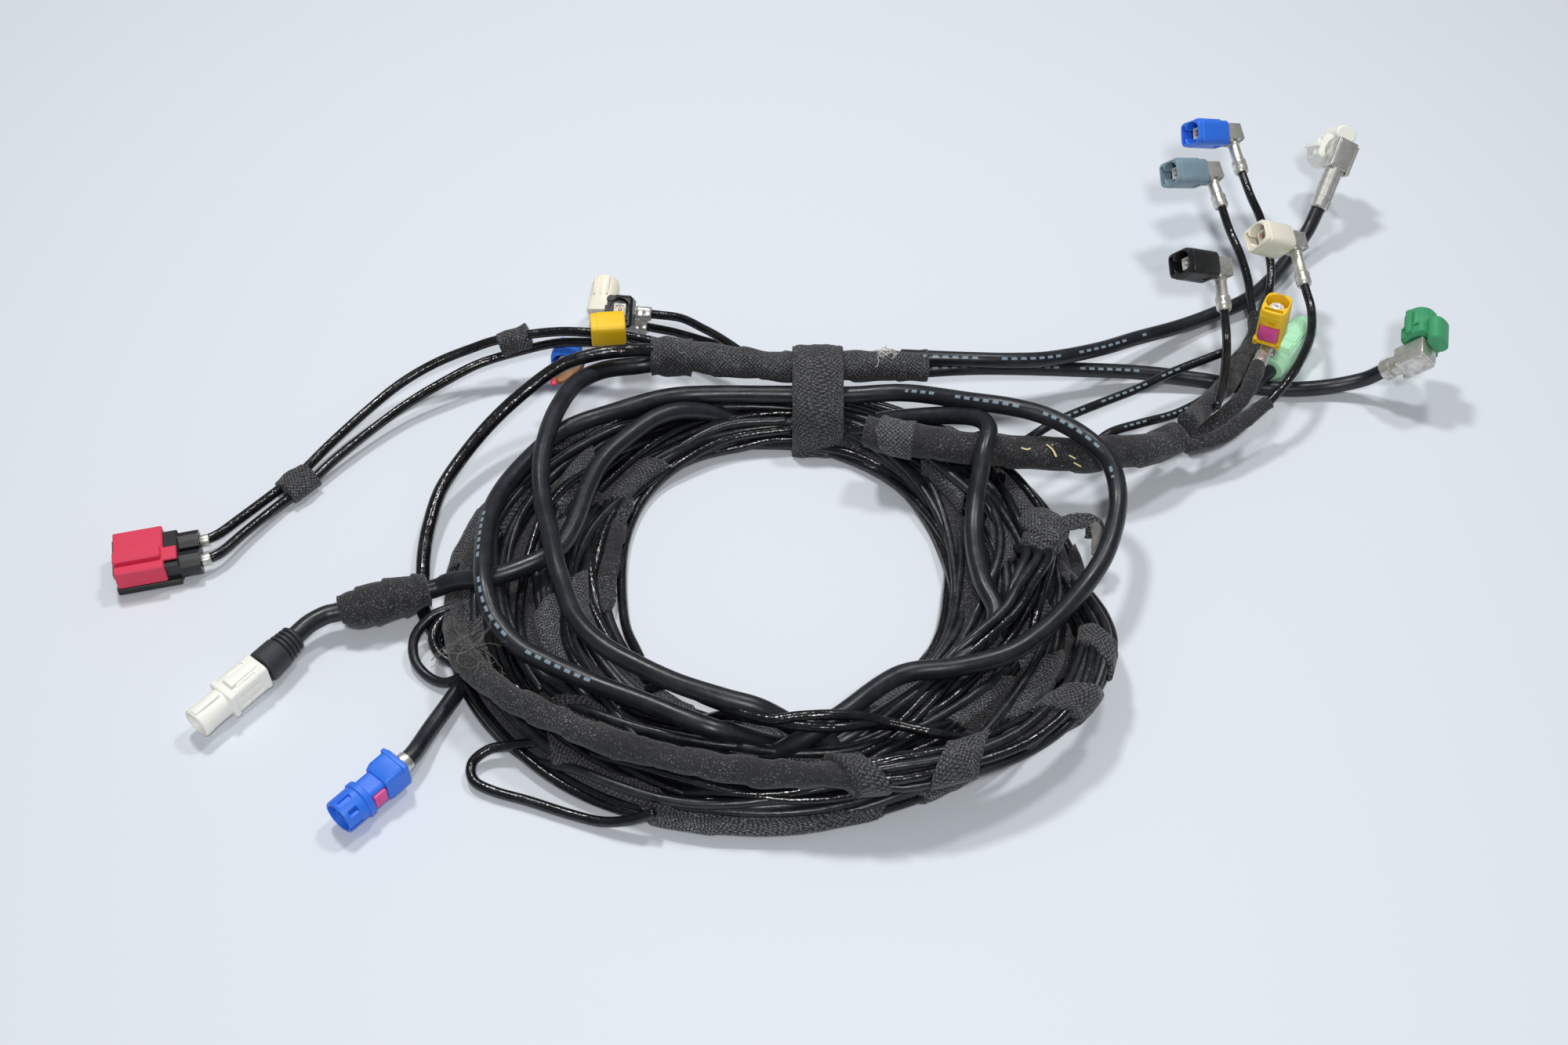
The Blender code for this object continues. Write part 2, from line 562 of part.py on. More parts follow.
def data_connector(name, material, fin_height):
    """The angled data connector: a ribbed round head with side fins on a folded metal body."""
    frame, ferrule = connector_frame(name)
    rear = BODY_HALF_HEIGHT + GAP
    front = rear + HEAD_LENGTH
    head = rod_mesh(name, (rear, 0, 0), (front, 0, 0), HEAD_RADIUS, sides=16)
    collar = box_mesh("collar", (rear, -4.4, -6.2), (rear + 5.2, 4.9, 6.2), 0.8)
    fin = box_mesh("fin", (rear, -1.0, -fin_height), (front - 3.0, 1.0, fin_height), 0.3)
    skirt = rod_mesh("skirt", (rear - 3.0, 6.9, 0), (rear + 7.0, 6.9, 0), 3.0, sides=16)
    ribs = []
    for number in range(HEAD_RIBS):
        turn = 2 * math.pi * (number + 0.5) / HEAD_RIBS
        y, z = (HEAD_RADIUS - 0.1) * math.cos(turn), (HEAD_RADIUS - 0.1) * math.sin(turn)
        ribs.append(rod_mesh("rib", (rear + 4.0, y, z), (front - 1.0, y, z), RIB_RADIUS, sides=6))
    bore = rod_mesh("bore", (front - HEAD_BORE_DEPTH, 0, 0), (front + 1, 0, 0), HEAD_BORE, sides=16)
    shape(f"{name}_housing", material, frame, head, [collar, fin, skirt, *ribs], [bore])
    wide, high = BODY_HALF_WIDTH, BODY_HALF_HEIGHT
    end = -ferrule + CRIMP_GAP
    body = box_mesh(f"{name}_terminal", (-high, -7.5, -wide), (high, 3.4, wide), 0.4)
    cheek = box_mesh("cheek", (-high, -8.6, wide - 1.2), (high - 3.0, 2.0, wide + 1.4), 0.2)
    sleeve = rod_mesh("sleeve", (-0.4, -6.5, 0), (-0.4, end + 3.0, 0), DATA_FERRULE)
    crimp = rod_mesh("crimp", (-0.2, end + 3.4, 0), (0, end, 0), DATA_FERRULE, DATA_FERRULE - 0.2, sides=8)
    shape(f"{name}_terminal", "tinned_metal", frame, body, [cheek, sleeve, crimp])


def mint_connector():
    """The data connector behind the yellow one, lying on its side."""
    rear, nose = Vector((170.4, 94.5, 7.5)), Vector((185.6, 116.7, 6.4))
    frame = add_frame("mint_frame", rear, nose - rear, (-0.8, 0.5, 0))
    long = (nose - rear).length
    collar = rod_mesh("mint", (0, 0, 0), (6.0, 0, 0), 4.1, 4.5, sides=16)
    block = box_mesh("block", (4.5, -4.0, -4.2), (long - 8.0, 3.8, 4.2), 0.7)
    latch = box_mesh("latch", (5.5, -2.6, 3.0), (long - 6.0, 2.6, 5.0), 0.4)
    head = rod_mesh("head", (long - 9.5, 0, 0), (long, 0, 0), 4.9, sides=16)
    bore = rod_mesh("bore", (long - 8.0, 0, 0), (long + 1, 0, 0), HEAD_BORE, sides=16)
    shape("mint_data_housing", "mint_plastic", frame, collar, [block, latch, head], [bore])


def twin_connector():
    """The twin connector: a black body with two round ports, and its crimson cover."""
    rear, front = Vector((-181.5, 14.2, 5.6)), Vector((-201.5, 9.2, 5.6))
    frame = add_frame("twin_frame", rear, front - rear, (0.25, -0.97, 0))
    wide, high = TWIN_WIDTH / 2, TWIN_HEIGHT / 2
    side = COVER_WALL + GAP
    body = box_mesh("twin_body", (0, -wide + side, -high), (TWIN_LENGTH, wide - side, high - side), 0.5)
    sill = box_mesh("sill", (0.5, -wide, -high), (TWIN_LENGTH, wide, -high + 2.4), 0.3)
    tools, holes = [sill], []
    for way in (-1, 1):
        y = way * TWIN_PORT_PITCH / 2
        tools.append(rod_mesh("collar", (-TWIN_COLLAR_LENGTH, y, -0.7), (0.5, y, -0.7), TWIN_COLLAR_RADIUS))
        start, end = TWIN_LENGTH - TWIN_PORT_DEPTH, TWIN_LENGTH + 1
        holes.append(rod_mesh("port", (start, y, -0.7), (end, y, -0.7), TWIN_PORT_RADIUS, sides=14))
        holes.append(rod_mesh("entry", (-7, y, -0.7), (-3, y, -0.7), TWIN_CABLE / 2 + CRIMP_GAP, sides=8))
    shape("twin_body", "black_plastic", frame, body, tools, holes)
    start = TWIN_LENGTH - COVER_LENGTH - 0.6
    end = TWIN_LENGTH - 0.6
    base = -high + 2.4 + GAP
    shell = box_mesh("twin_cover", (start, -wide, base), (end, wide, high), 0.4)
    step = box_mesh("step", (start + 0.6, 0.8, high - 0.6), (end, 5.4, high + 1.8), 0.4)
    tongue = box_mesh("tongue", (start - 4.0, 0.6, high - 1.2), (start + 1.0, 5.8, high), 0.3)
    inside = box_mesh(
        "inside", (start - 1, -wide + COVER_WALL, base - 1), (end + 1, wide - COVER_WALL, high - COVER_WALL)
    )
    slots = []
    for x in (start + 0.9, end - 3.3):
        for z in (-0.6, 1.2):
            slots.append(box_mesh("slot", (x, -wide - 0.5, z), (x + 2.2, -wide + 0.5, z + 0.5)))
    shape("twin_cover", "crimson_plastic", frame, shell, [step, tongue], [inside, *slots])


def white_plug():
    """The straight white data connector, and the ribbed boot behind it."""
    rear, nose = Vector((-148.0, -32.4, 7.0)), Vector((-163.4, -51.6, 6.0))
    frame = add_frame("white_plug_frame", rear, nose - rear, (0.77, -0.63, 0))
    long = (nose - rear).length
    block = box_mesh("white_plug", (0, -4.6, -4.6), (13.0, 4.6, 4.6), 0.7)
    nose_tube = rod_mesh("nose", (12.0, 0, 0), (long, 0, 0), 4.4, sides=16)
    flange = box_mesh("flange", (12.2, -4.9, -4.9), (14.6, 4.9, 4.9), 0.9)
    spine = box_mesh("spine", (1.0, -1.6, 4.2), (long - 3.0, 1.6, 5.7), 0.4)
    bore = rod_mesh("bore", (long - HEAD_BORE_DEPTH, 0, 0), (long + 1, 0, 0), HEAD_BORE, sides=16)
    windows = [
        box_mesh("window", (3.0, 4.0, -2.2), (8.0, 5.2, -0.4)),
        box_mesh("window", (3.0, 4.0, 0.8), (8.0, 5.2, 2.6)),
        box_mesh("window", (4.0, -5.2, -1.6), (9.0, -4.0, 1.6)),
    ]
    shape("white_plug_housing", "white_plastic", frame, block, [nose_tube, flange, spine], [bore, *windows])
    boot_end = Vector(ROUTES["white_plug_lead"][-1])
    away = rear - boot_end
    boot_frame = add_frame("boot_frame", boot_end, Vector((0, 0, 1)).cross(away), away.cross((1, 0, 0)))
    turn = away.to_track_quat("Z", "Y").to_matrix().to_4x4()
    boot_frame.matrix_world = Matrix.Translation(boot_end * MM) @ turn
    top = away.length - CRIMP_GAP
    profile = [(0.0, top), (4.9, top), (5.2, top - 1.2)]
    ribs = 4
    pitch = (top - 4.0) / ribs
    for number in range(ribs):
        height = top - 1.6 - number * pitch
        radius = 5.0 - 0.22 * number
        groove = radius - 0.8
        profile += [(groove, height), (groove, height - 0.4 * pitch), (radius, height - 0.55 * pitch)]
    profile += [(3.9, 1.6), (3.6, CRIMP_GAP), (0.0, CRIMP_GAP)]
    turned("white_plug_boot", "boot_rubber", profile, boot_frame, 12)


def blue_data_plug():
    """The straight blue data connector at the front left, with its pink lock."""
    rear, nose = Vector((-102.7, -66.4, 6.2)), Vector((-117.5, -83.8, 6.2))
    frame = add_frame("blue_data_frame", rear, nose - rear, (0.77, -0.63, 0))
    long = (nose - rear).length
    block = box_mesh("blue_data", (0, -4.7, -4.2), (8.2, 4.7, 5.2), 0.6)
    waist = box_mesh("waist", (7.5, -3.9, -4.2), (long - 6.0, 3.9, 4.0), 0.5)
    flange = rod_mesh("flange", (long - 9.2, 0, 0), (long - 7.2, 0, 0), 5.7, sides=16)
    ring = rod_mesh("ring", (long - 7.6, 0, 0), (long, 0, 0), 5.2, sides=16)
    square = box_mesh("square", (long - 6.6, -3.1, -3.1), (long + 1, 3.1, 3.1))
    seat = box_mesh("seat", (8.2, -3.9 - 0.1, -2.6), (13.0, -2.4, 2.6))
    entry = rod_mesh("entry", (-1, 0, 0), (1.4, 0, 0), 2.9, sides=16)
    shape("blue_data_housing", "blue_plastic", frame, block, [waist, flange, ring], [square, seat, entry])
    lock = box_mesh("blue_data_lock", (8.2 + GAP, -4.3, -2.6 + GAP), (13.0 - GAP, -2.4 - GAP, 2.6 - GAP), 0.3)
    shape("blue_data_lock", "pink_plastic", frame, lock)


def torn_black_connector():
    """The coax connector with a broken shell: one long wall is torn off in steps."""
    name = "torn_black"
    frame, ferrule = connector_frame(name)
    front = TERMINAL_HALF + GAP + HOUSING_LENGTH
    high = HOUSING_HALF_HEIGHT
    tears = [
        box_mesh("tear", (front - 5.5, 2.6, -2.6), (front + 1, 6.5, 3.4)),
        box_mesh("tear", (front - 3.2, 1.2, -high), (front + 1, 6.5, -1.2)),
        box_mesh("tear", (front - 2.0, 0.4, 1.4), (front + 1, 6.5, high + 2)),
    ]
    coax_housing(f"{name}_housing", "black_plastic", frame, "z", high, tears)
    coax_terminal(f"{name}_terminal", frame, ferrule)


def loose_back_housings():
    """Two more housings tucked in at the back left, mostly hidden by the cables."""
    yellow = add_frame("yellow_back_frame", (-42.6, 92.8, 28.9), (-1.0, -0.12, 0.02), (0, 1, 0.1))
    coax_housing("yellow_back_housing", "yellow_plastic", yellow, "z", 4.2, length=11.4)
    blue = add_frame("blue_back_frame", (-66.5, 109.5, 5.4), (-0.15, -0.95, 0.2), (1, -0.2, 0))
    coax_housing("blue_back_housing", "blue_plastic", blue, "z", 4.2, length=10.5)


def fleece_roll():
    """The thick fleece roll on the white connector's cable."""
    start, end = Vector(ROUTES["white_plug_lead"][0]), Vector(ROUTES["white_plug_cable"][-1])
    away = end - start
    frame = add_frame("fleece_roll_frame", start, (0, 0, 1), (0, 1, 0))
    frame.matrix_world = Matrix.Translation(start * MM) @ away.to_track_quat("Z", "Y").to_matrix().to_4x4()
    top, radius = away.length - 2 * CRIMP_GAP, ROLL_WRAP / 2
    profile = [
        (0.0, top), (radius - 1.2, top), (radius - 0.2, top - 1.0), (radius, top - 6.0),
        (radius - 0.4, top - 13.0), (radius, top - 15.0), (radius, 7.0), (radius - 0.3, 2.5),
        (radius - 1.4, 1.5 * CRIMP_GAP), (0.0, 1.5 * CRIMP_GAP),
    ]
    turned("fleece_roll", "fleece_wrap", profile, frame, 16)


def lead_tape():
    """The cloth wrap that ties the two leads of the twin connector together."""
    middle = Vector((-150.6, 45.8, 3.9))
    frame = add_frame("lead_tape_frame", middle, (0.79, -0.61, 0), (0, 0, 1))
    outline = [
        (5.1 * math.copysign(abs(math.cos(t)) ** 0.8, math.cos(t)), 2.9 * math.sin(t))
        for t in (2 * math.pi * step / 16 for step in range(16))
    ]
    return outline_band("lead_tape", "cloth_tape", frame, outline, 0.8, 9.0)


def build():
    clear_scene()
    coil_bundle()
    coil_strap()
    cross_tape()
    for name, diameter in (
        ("outer_loop_cable", DATA_CABLE),
        ("left_loop_cable", DATA_CABLE),
        ("white_plug_cable", DATA_CABLE),
        ("inner_cable", DATA_CABLE),
        ("white_plug_lead", DATA_CABLE),
        ("white_data_lead", THIN_DATA_CABLE),
        ("green_data_lead", THIN_DATA_CABLE),
        ("blue_data_lead", THIN_DATA_CABLE),
        ("mint_data_lead", MINT_CABLE),
    ):
        cord(name, diameter, "cable_jacket")
    cord("glossy_loop_cable", GLOSSY_CABLE, "coax_jacket")
    for name in ("twin_lead_back", "twin_lead_front"):
        cord(name, TWIN_CABLE, "coax_jacket")
    for colour in ("blue", "grey", "black", "cream", "torn_black", "cream_back"):
        cord(f"{colour}_lead", COAX_CABLE, "coax_jacket")
    for number in (1, 2):
        cord(f"printed_lead_{number}", COAX_CABLE, "coax_jacket")
    cord("fleece_trunk", TRUNK_WRAP, "fleece_wrap")
    cord("fleece_sleeve", SLEEVE_WRAP, "fleece_wrap")
    cord("taped_trunk", TAPE_WRAP, "cloth_tape")
    cord("sleeve_branch_a", THICK_BRANCH, "fleece_wrap")
    cord("sleeve_branch_b", THIN_BRANCH, "fleece_wrap")
    cord("sleeve_branch_c", THIN_BRANCH, "fleece_wrap")
    fleece_roll()
    lead_tape()
    for colour in ("blue", "grey", "black", "cream"):
        coax_connector(f"{colour}_coax", f"{colour}_plastic")
    yellow_connector()
    data_connector("white_data", "white_plastic", 6.6)
    data_connector("green_data", "green_plastic", 6.3)
    mint_connector()
    twin_connector()
    white_plug()
    blue_data_plug()
    torn_black_connector()
    frame, ferrule = connector_frame("cream_back")
    coax_housing("cream_back_housing", "cream_plastic", frame)
    coax_terminal("cream_back_terminal", frame, ferrule)
    loose_back_housings()


build()
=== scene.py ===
import math

import bmesh
import bpy
import numpy as np
from mathutils import Matrix, Vector


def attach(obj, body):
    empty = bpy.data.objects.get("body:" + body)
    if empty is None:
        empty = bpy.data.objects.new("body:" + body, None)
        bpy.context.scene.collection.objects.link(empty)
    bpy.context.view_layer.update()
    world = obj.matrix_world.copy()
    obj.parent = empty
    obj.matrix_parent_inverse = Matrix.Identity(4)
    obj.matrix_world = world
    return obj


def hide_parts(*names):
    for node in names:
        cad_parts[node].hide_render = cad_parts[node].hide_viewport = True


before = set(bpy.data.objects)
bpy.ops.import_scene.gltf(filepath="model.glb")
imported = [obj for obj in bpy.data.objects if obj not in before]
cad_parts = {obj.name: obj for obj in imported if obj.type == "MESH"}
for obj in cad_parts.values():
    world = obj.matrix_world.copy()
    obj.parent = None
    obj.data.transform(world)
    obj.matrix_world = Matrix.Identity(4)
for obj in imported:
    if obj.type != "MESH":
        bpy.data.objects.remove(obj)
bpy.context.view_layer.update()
mm = 0.001
full = 2 * math.pi
print("frame loaded:", len(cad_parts), "nodes")


# camera, floor and light: two soft lamps from behind and a small flash beside the camera

view = {
    "spot": (6.0, -386.2, 464.5),  # mm, 48 degrees above the floor
    "aim": (6.0, 32.0, 0.0),
    "lens": 45.0,
    "sensor": 36.0,
}


def lookAt(place, aim):
    # the turn that points an object's -Z from its place at the aim, with Y up
    return (Vector(aim) - Vector(place)).to_track_quat("-Z", "Y").to_euler()


camera = bpy.data.objects.new("photoCamera", bpy.data.cameras.new("photoCamera"))
bpy.context.scene.collection.objects.link(camera)
camera.location = Vector(view["spot"]) * mm
camera.rotation_euler = lookAt(view["spot"], view["aim"])
camera.data.lens = view["lens"]
camera.data.sensor_width = view["sensor"]
camera.data.clip_start = 0.01
bpy.context.scene.camera = camera

bpy.context.scene.view_settings.view_transform = "Standard"


def hexColour(code):
    # an sRGB hex colour turned to linear light
    parts = [int(code[i : i + 2], 16) / 255 for i in (1, 3, 5)]
    return tuple(p / 12.92 if p <= 0.04045 else ((p + 0.055) / 1.055) ** 2.4 for p in parts) + (1.0,)


def addNode(material, kind, settings=None, links=None):
    # a node with its settings by name and its inputs linked from other nodes' outputs
    node = material.node_tree.nodes.new(kind)
    for name, value in (settings or {}).items():
        if hasattr(node, name) and name not in node.inputs:
            setattr(node, name, value)
        else:
            node.inputs[name].default_value = value
    for name, source in (links or {}).items():
        material.node_tree.links.new(source, node.inputs[name])
    return node


def newMaterial(name, **sockets):
    # a Principled material with the given values on its sockets
    material = bpy.data.materials.new(name)
    material.use_nodes = True
    shader = material.node_tree.nodes["Principled BSDF"]
    for socket, value in sockets.items():
        shader.inputs[socket.replace("_", " ")].default_value = value
    return material


studio = {
    "background": "#DBE0E7",
    "floorHalf": 1300.0,
    "floorTop": -0.2,  # mm, just under what lies on it
    "worldStrength": 0.24,
    # name: place, aim, size and watts
    "lamps": {
        "keyLeft": ((-230, 400, 960), (0, 0, 0), 140, 4.4),
        "keyRight": ((300, 380, 940), (0, 0, 0), 140, 2.6),
        "frontFlash": ((60, -560, 800), (0, 0, 0), 120, 3.9),
    },
}


def makeStudio():
    world = bpy.data.worlds.new("paleWorld")
    bpy.context.scene.world = world
    world.use_nodes = True
    light = world.node_tree.nodes["Background"]
    light.inputs["Color"].default_value = hexColour("#EEF3F6")
    light.inputs["Strength"].default_value = studio["worldStrength"]
    # what the camera sees beyond the floor is as pale as the floor
    seen = addNode(world, "ShaderNodeBackground", {"Color": hexColour(studio["background"]), "Strength": 1.0})
    path = addNode(world, "ShaderNodeLightPath").outputs["Is Camera Ray"]
    both = addNode(world, "ShaderNodeMixShader", None, {0: path, 1: light.outputs[0], 2: seen.outputs[0]})
    world.node_tree.links.new(both.outputs[0], world.node_tree.nodes["World Output"].inputs["Surface"])
    for name, (place, aim, size, watts) in studio["lamps"].items():
        lamp = bpy.data.lights.new(name, "AREA")
        lamp.shape = "DISK"
        lamp.size = size * mm
        lamp.energy = watts
        item = bpy.data.objects.new(name, lamp)
        bpy.context.scene.collection.objects.link(item)
        item.location = Vector(place) * mm
        item.rotation_euler = lookAt(place, aim)
    half = studio["floorHalf"] * mm
    mesh = bpy.data.meshes.new("paleFloor")
    low = studio["floorTop"] * mm
    corners = [(-half, -half, low), (half, -half, low), (half, half, low), (-half, half, low)]
    mesh.from_pydata(corners, [], [(0, 1, 2, 3)])
    floor = bpy.data.objects.new("paleFloor", mesh)
    bpy.context.scene.collection.objects.link(floor)
    # matt paper sweep: an even pale blue-grey
    mesh.materials.append(newMaterial("palePaperFloor", Roughness=0.75,
                                      Base_Color=hexColour(studio["background"])))


makeStudio()
print("camera, floor and light are set")


# shape tools: all points are in mm until they go into a mesh


def meshFrom(name, points, groups, uvs=None):
    # Points (n, 3) in mm. Groups is a list of (m, k) corner arrays, and uvs has one (m, k, 2) array for each.
    # The sum of p0 . (p1 x p2) over the triangles is six volumes. Below zero, the faces look inwards and are
    # turned over.
    points = np.asarray(points, float)
    volume = 0.0
    for g in groups:
        for k in range(1, g.shape[1] - 1):
            volume += float((points[g[:, 0]] * np.cross(points[g[:, k]], points[g[:, k + 1]])).sum())
    if volume < 0:
        groups = [g[:, ::-1] for g in groups]
        uvs = None if uvs is None else [u[:, ::-1] for u in uvs]
    mesh = bpy.data.meshes.new(name)
    mesh.vertices.add(len(points))
    mesh.vertices.foreach_set("co", (points * mm).ravel())
    corners = np.concatenate([g.ravel() for g in groups])
    sizes = np.concatenate([np.full(len(g), g.shape[1]) for g in groups])
    mesh.loops.add(len(corners))
    mesh.loops.foreach_set("vertex_index", corners.astype(np.int32))
    mesh.polygons.add(len(sizes))
    mesh.polygons.foreach_set("loop_start", np.concatenate([[0], np.cumsum(sizes)[:-1]]).astype(np.int32))
    mesh.update(calc_edges=True)
    if uvs is not None:
        layer = mesh.uv_layers.new(name="UVMap")
        layer.data.foreach_set("uv", np.concatenate([u.ravel() for u in uvs]).astype(np.float32))
    mesh.polygons.foreach_set("use_smooth", np.ones(len(sizes), bool))
    mesh.validate()
    return mesh


def addPiece(name, mesh, material, *nodes):
    # a finished piece at the origin that rides on the harness and stands for the named CAD nodes
    piece = bpy.data.objects.new(name, mesh)
    bpy.context.scene.collection.objects.link(piece)
    mesh.materials.append(material)
    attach(piece, "root")
    if nodes:
        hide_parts(*nodes)
    return piece


def smoothLine(points, step):
    # a Catmull-Rom curve through the points, then even steps along its length
    p = np.array(points, float)
    p = np.vstack([2 * p[0] - p[1], p, 2 * p[-1] - p[-2]])
    t = np.linspace(0, 1, 24, endpoint=False)[None, :, None]
    a, b, c, d = (p[i : len(p) - 3 + i, None, :] for i in range(4))
    fine = 0.5 * (2 * b + (c - a) * t + (2 * a - 5 * b + 4 * c - d) * t**2 + (3 * b - a - 3 * c + d) * t**3)
    fine = np.vstack([fine.reshape(-1, 3), p[-2]])
    walked = np.concatenate([[0], np.cumsum(np.linalg.norm(np.diff(fine, axis=0), axis=1))])
    even = np.linspace(0, walked[-1], max(int(round(walked[-1] / step)), 6) + 1)
    return np.stack([np.interp(even, walked, fine[:, k]) for k in range(3)], axis=1)


def lineLength(line):
    return float(np.linalg.norm(np.diff(line, axis=0), axis=1).sum())


def ringFrames(line, closed=False, side=None):
    # at each point: the way ahead, the level way across it and the way square to both
    ahead = np.roll(line, -1, 0) - np.roll(line, 1, 0) if closed else np.gradient(line, axis=0)
    ahead = ahead / np.linalg.norm(ahead, axis=1, keepdims=True)
    if side is None:
        across = np.cross(ahead, [0.0, 0.0, 1.0])
    else:
        across = np.broadcast_to(np.asarray(side, float), line.shape)
    across = across - ahead * (across * ahead).sum(1, keepdims=True)
    across = across / np.linalg.norm(across, axis=1, keepdims=True)
    return ahead, across, np.cross(across, ahead)


def gridQuads(rows, sides):
    # the corner numbers of the faces between rings of points, each ring closed
    r, k = np.arange(rows - 1)[:, None], np.arange(sides)[None, :]
    k2 = (k + 1) % sides
    corners = [r * sides + k, r * sides + k2, (r + 1) * sides + k2, (r + 1) * sides + k]
    return np.stack(corners, axis=2).reshape(-1, 4)


def poleCaps(rows, sides):
    # the faces from the first and the last ring to the two poles that come after all rings
    one = np.arange(sides)
    two = (one + 1) % sides
    base = (rows - 1) * sides
    return [np.stack([two, one, np.full(sides, rows * sides)], axis=1),
            np.stack([base + one, base + two, np.full(sides, rows * sides + 1)], axis=1)]


# a tube's end: its height is a share of its half width, held to a most, with a narrower ring on the way up
domeEnd = {"most": 1.4, "share": 0.35, "ringWide": 0.82, "ringHigh": 0.6, "uvStep": 0.3}


def tubeMesh(name, line, wide, thick=None, sides=16, closed=False, swell=None, side=None, power=2.0,
             shear=0.0):
    # A skin carried along the line. Each ring is a superellipse: across wide * cos and up thick * sin, both
    # to the power 2 / power, plus swell(along, angle) outwards. shear slants the end rings by shear *
    # cos(angle). The ends are domed to a pole. UV is mm along the line and mm round the ring.
    line = np.asarray(line, float)
    n = len(line)
    ahead, across, upper = ringFrames(line, closed, side)
    wide = np.broadcast_to(np.asarray(wide, float), (n,))
    thick = wide if thick is None else np.broadcast_to(np.asarray(thick, float), (n,))
    angle = np.linspace(0, full, sides, endpoint=False)
    along = np.concatenate([[0], np.cumsum(np.linalg.norm(np.diff(line, axis=0), axis=1))])
    bend = 2.0 / power
    c = np.sign(np.cos(angle)) * np.abs(np.cos(angle)) ** bend
    s = np.sign(np.sin(angle)) * np.abs(np.sin(angle)) ** bend
    more = np.zeros((n, sides))
    if swell is not None:
        more = more + swell(along[:, None], angle[None, :])
    x = wide[:, None] * c[None, :] + more * np.cos(angle)
    y = thick[:, None] * s[None, :] + more * np.sin(angle)
    rings = line[:, None, :] + x[..., None] * across[:, None, :] + y[..., None] * upper[:, None, :]
    if shear:
        fade = np.zeros(n)
        fade[: n // 2] = np.linspace(-1, 0, n // 2)
        fade[-(n // 2) :] = np.linspace(0, 1, n // 2)
        slant = (np.abs(fade) ** 0.5)[:, None, None] * shear * np.cos(angle)[None, :, None]
        rings = rings + slant * ahead[:, None, :]
    around = np.concatenate([angle, [full]]) * float(np.mean((wide + thick) / 2))
    rows, points, place = n, rings.reshape(-1, 3), along
    if not closed:
        ends, poles = [], []
        for at, way in ((0, -1), (-1, 1)):
            dome = way * min(float(min(wide[at], thick[at])), domeEnd["most"]) * domeEnd["share"]
            ends.append((line[at] + domeEnd["ringWide"] * (rings[at] - line[at])
                         + domeEnd["ringHigh"] * dome * ahead[at])[None])
            poles.append(line[at] + dome * ahead[at])
        rows = n + 2
        points = np.concatenate([np.concatenate([ends[0], rings, ends[1]]).reshape(-1, 3), poles])
        place = np.concatenate([[along[0] - domeEnd["uvStep"]], along, [along[-1] + domeEnd["uvStep"]]])
    quads = gridQuads(rows + closed, sides) % (rows * sides)
    total = along[-1] + float(np.linalg.norm(line[0] - line[-1])) if closed else 0
    placeNext = np.concatenate([place[1:], [total]]) if closed else place[1:]
    u0, u1 = place[: len(placeNext)], placeNext
    v0, v1 = around[:-1], around[1:]
    grid = (len(placeNext), sides)
    uu = np.stack([np.broadcast_to(u[:, None], grid) for u in (u0, u0, u1, u1)], axis=2)
    vv = np.stack([np.broadcast_to(v[None, :], grid) for v in (v0, v1, v1, v0)], axis=2)
    groups, maps = [quads], [np.stack([uu, vv], axis=3).reshape(-1, 4, 2)]
    if not closed:
        groups += poleCaps(rows, sides)
        flat = np.zeros((sides, 3, 2))
        flat[:, :, 1] = np.stack([v0, v1, (v0 + v1) / 2], axis=1)
        maps += [flat + [[place[0], 0]], flat + [[place[-1], 0]]]
    return meshFrom(name, points, groups, maps)


def joinMeshes(name, meshes):
    # several meshes made into one, and their own taken away
    bm = bmesh.new()
    for mesh in meshes:
        bm.from_mesh(mesh)
    joined = bpy.data.meshes.new(name)
    bm.to_mesh(joined)
    bm.free()
    for mesh in meshes:
        bpy.data.meshes.remove(mesh)
    return joined


def waves(seed, count, low, high, tall=1.0):
    # A smooth random height: tall * the sum of count sine waves / sqrt(count), each along (mm) and round
    # (turns) by a random length from low to high, random turns and a random start.
    pick = np.random.default_rng(seed)
    lengths = pick.uniform(low, high, count)
    turns = pick.integers(-3, 4, count)
    starts = pick.uniform(0, full, count)
    def height(along, angle):
        total = 0.0
        for length, turn, start in zip(lengths, turns, starts):
            total = total + np.sin(full * along / length + turn * angle + start)
        return tall * (total / count**0.5)
    return height


print("shape tools are ready")
# materials, each named for what the real one is and how its surface was made


def noise(material, vector, scale, detail, rough=0.5):
    return addNode(material, "ShaderNodeTexNoise", {"Scale": scale, "Detail": detail, "Roughness": rough},
                   {"Vector": vector}).outputs[0]


def remap(material, source, low, high, bottom=0.0, top=1.0):
    # the span low to high stretched to bottom to top, and held at its ends
    return addNode(material, "ShaderNodeMapRange", {"From Min": low, "From Max": high, "To Min": bottom,
                   "To Max": top}, {"Value": source}).outputs[0]


def reckon(material, kind, *values):
    # a maths node whose inputs are numbers or other nodes' outputs
    node = addNode(material, "ShaderNodeMath", {"operation": kind})
    for socket, value in zip(node.inputs, values):
        if isinstance(value, (int, float)):
            socket.default_value = value
        else:
            material.node_tree.links.new(value, socket)
    return node.outputs[0]


def blend(material, share, one, two):
    # hex colour two over one by the share; one can be the output of another blend
    node = addNode(material, "ShaderNodeMix", {"data_type": "RGBA"}, {"Factor": share})
    if isinstance(one, str):
        node.inputs[6].default_value = hexColour(one)
    else:
        material.node_tree.links.new(one, node.inputs[6])
    node.inputs[7].default_value = hexColour(two)
    return node.outputs[2]


def bump(material, height, strength, deep, under=None):
    # a relief deep metres high, on top of the one under it
    links = {"Height": height, "Normal": under} if under else {"Height": height}
    return addNode(material, "ShaderNodeBump", {"Strength": strength, "Distance": deep}, links).outputs[0]


def dress(material, **sockets):
    # the shader's inputs linked from other nodes' outputs
    shader = material.node_tree.nodes["Principled BSDF"]
    for name, source in sockets.items():
        material.node_tree.links.new(source, shader.inputs[name.replace("_", " ")])
    return material


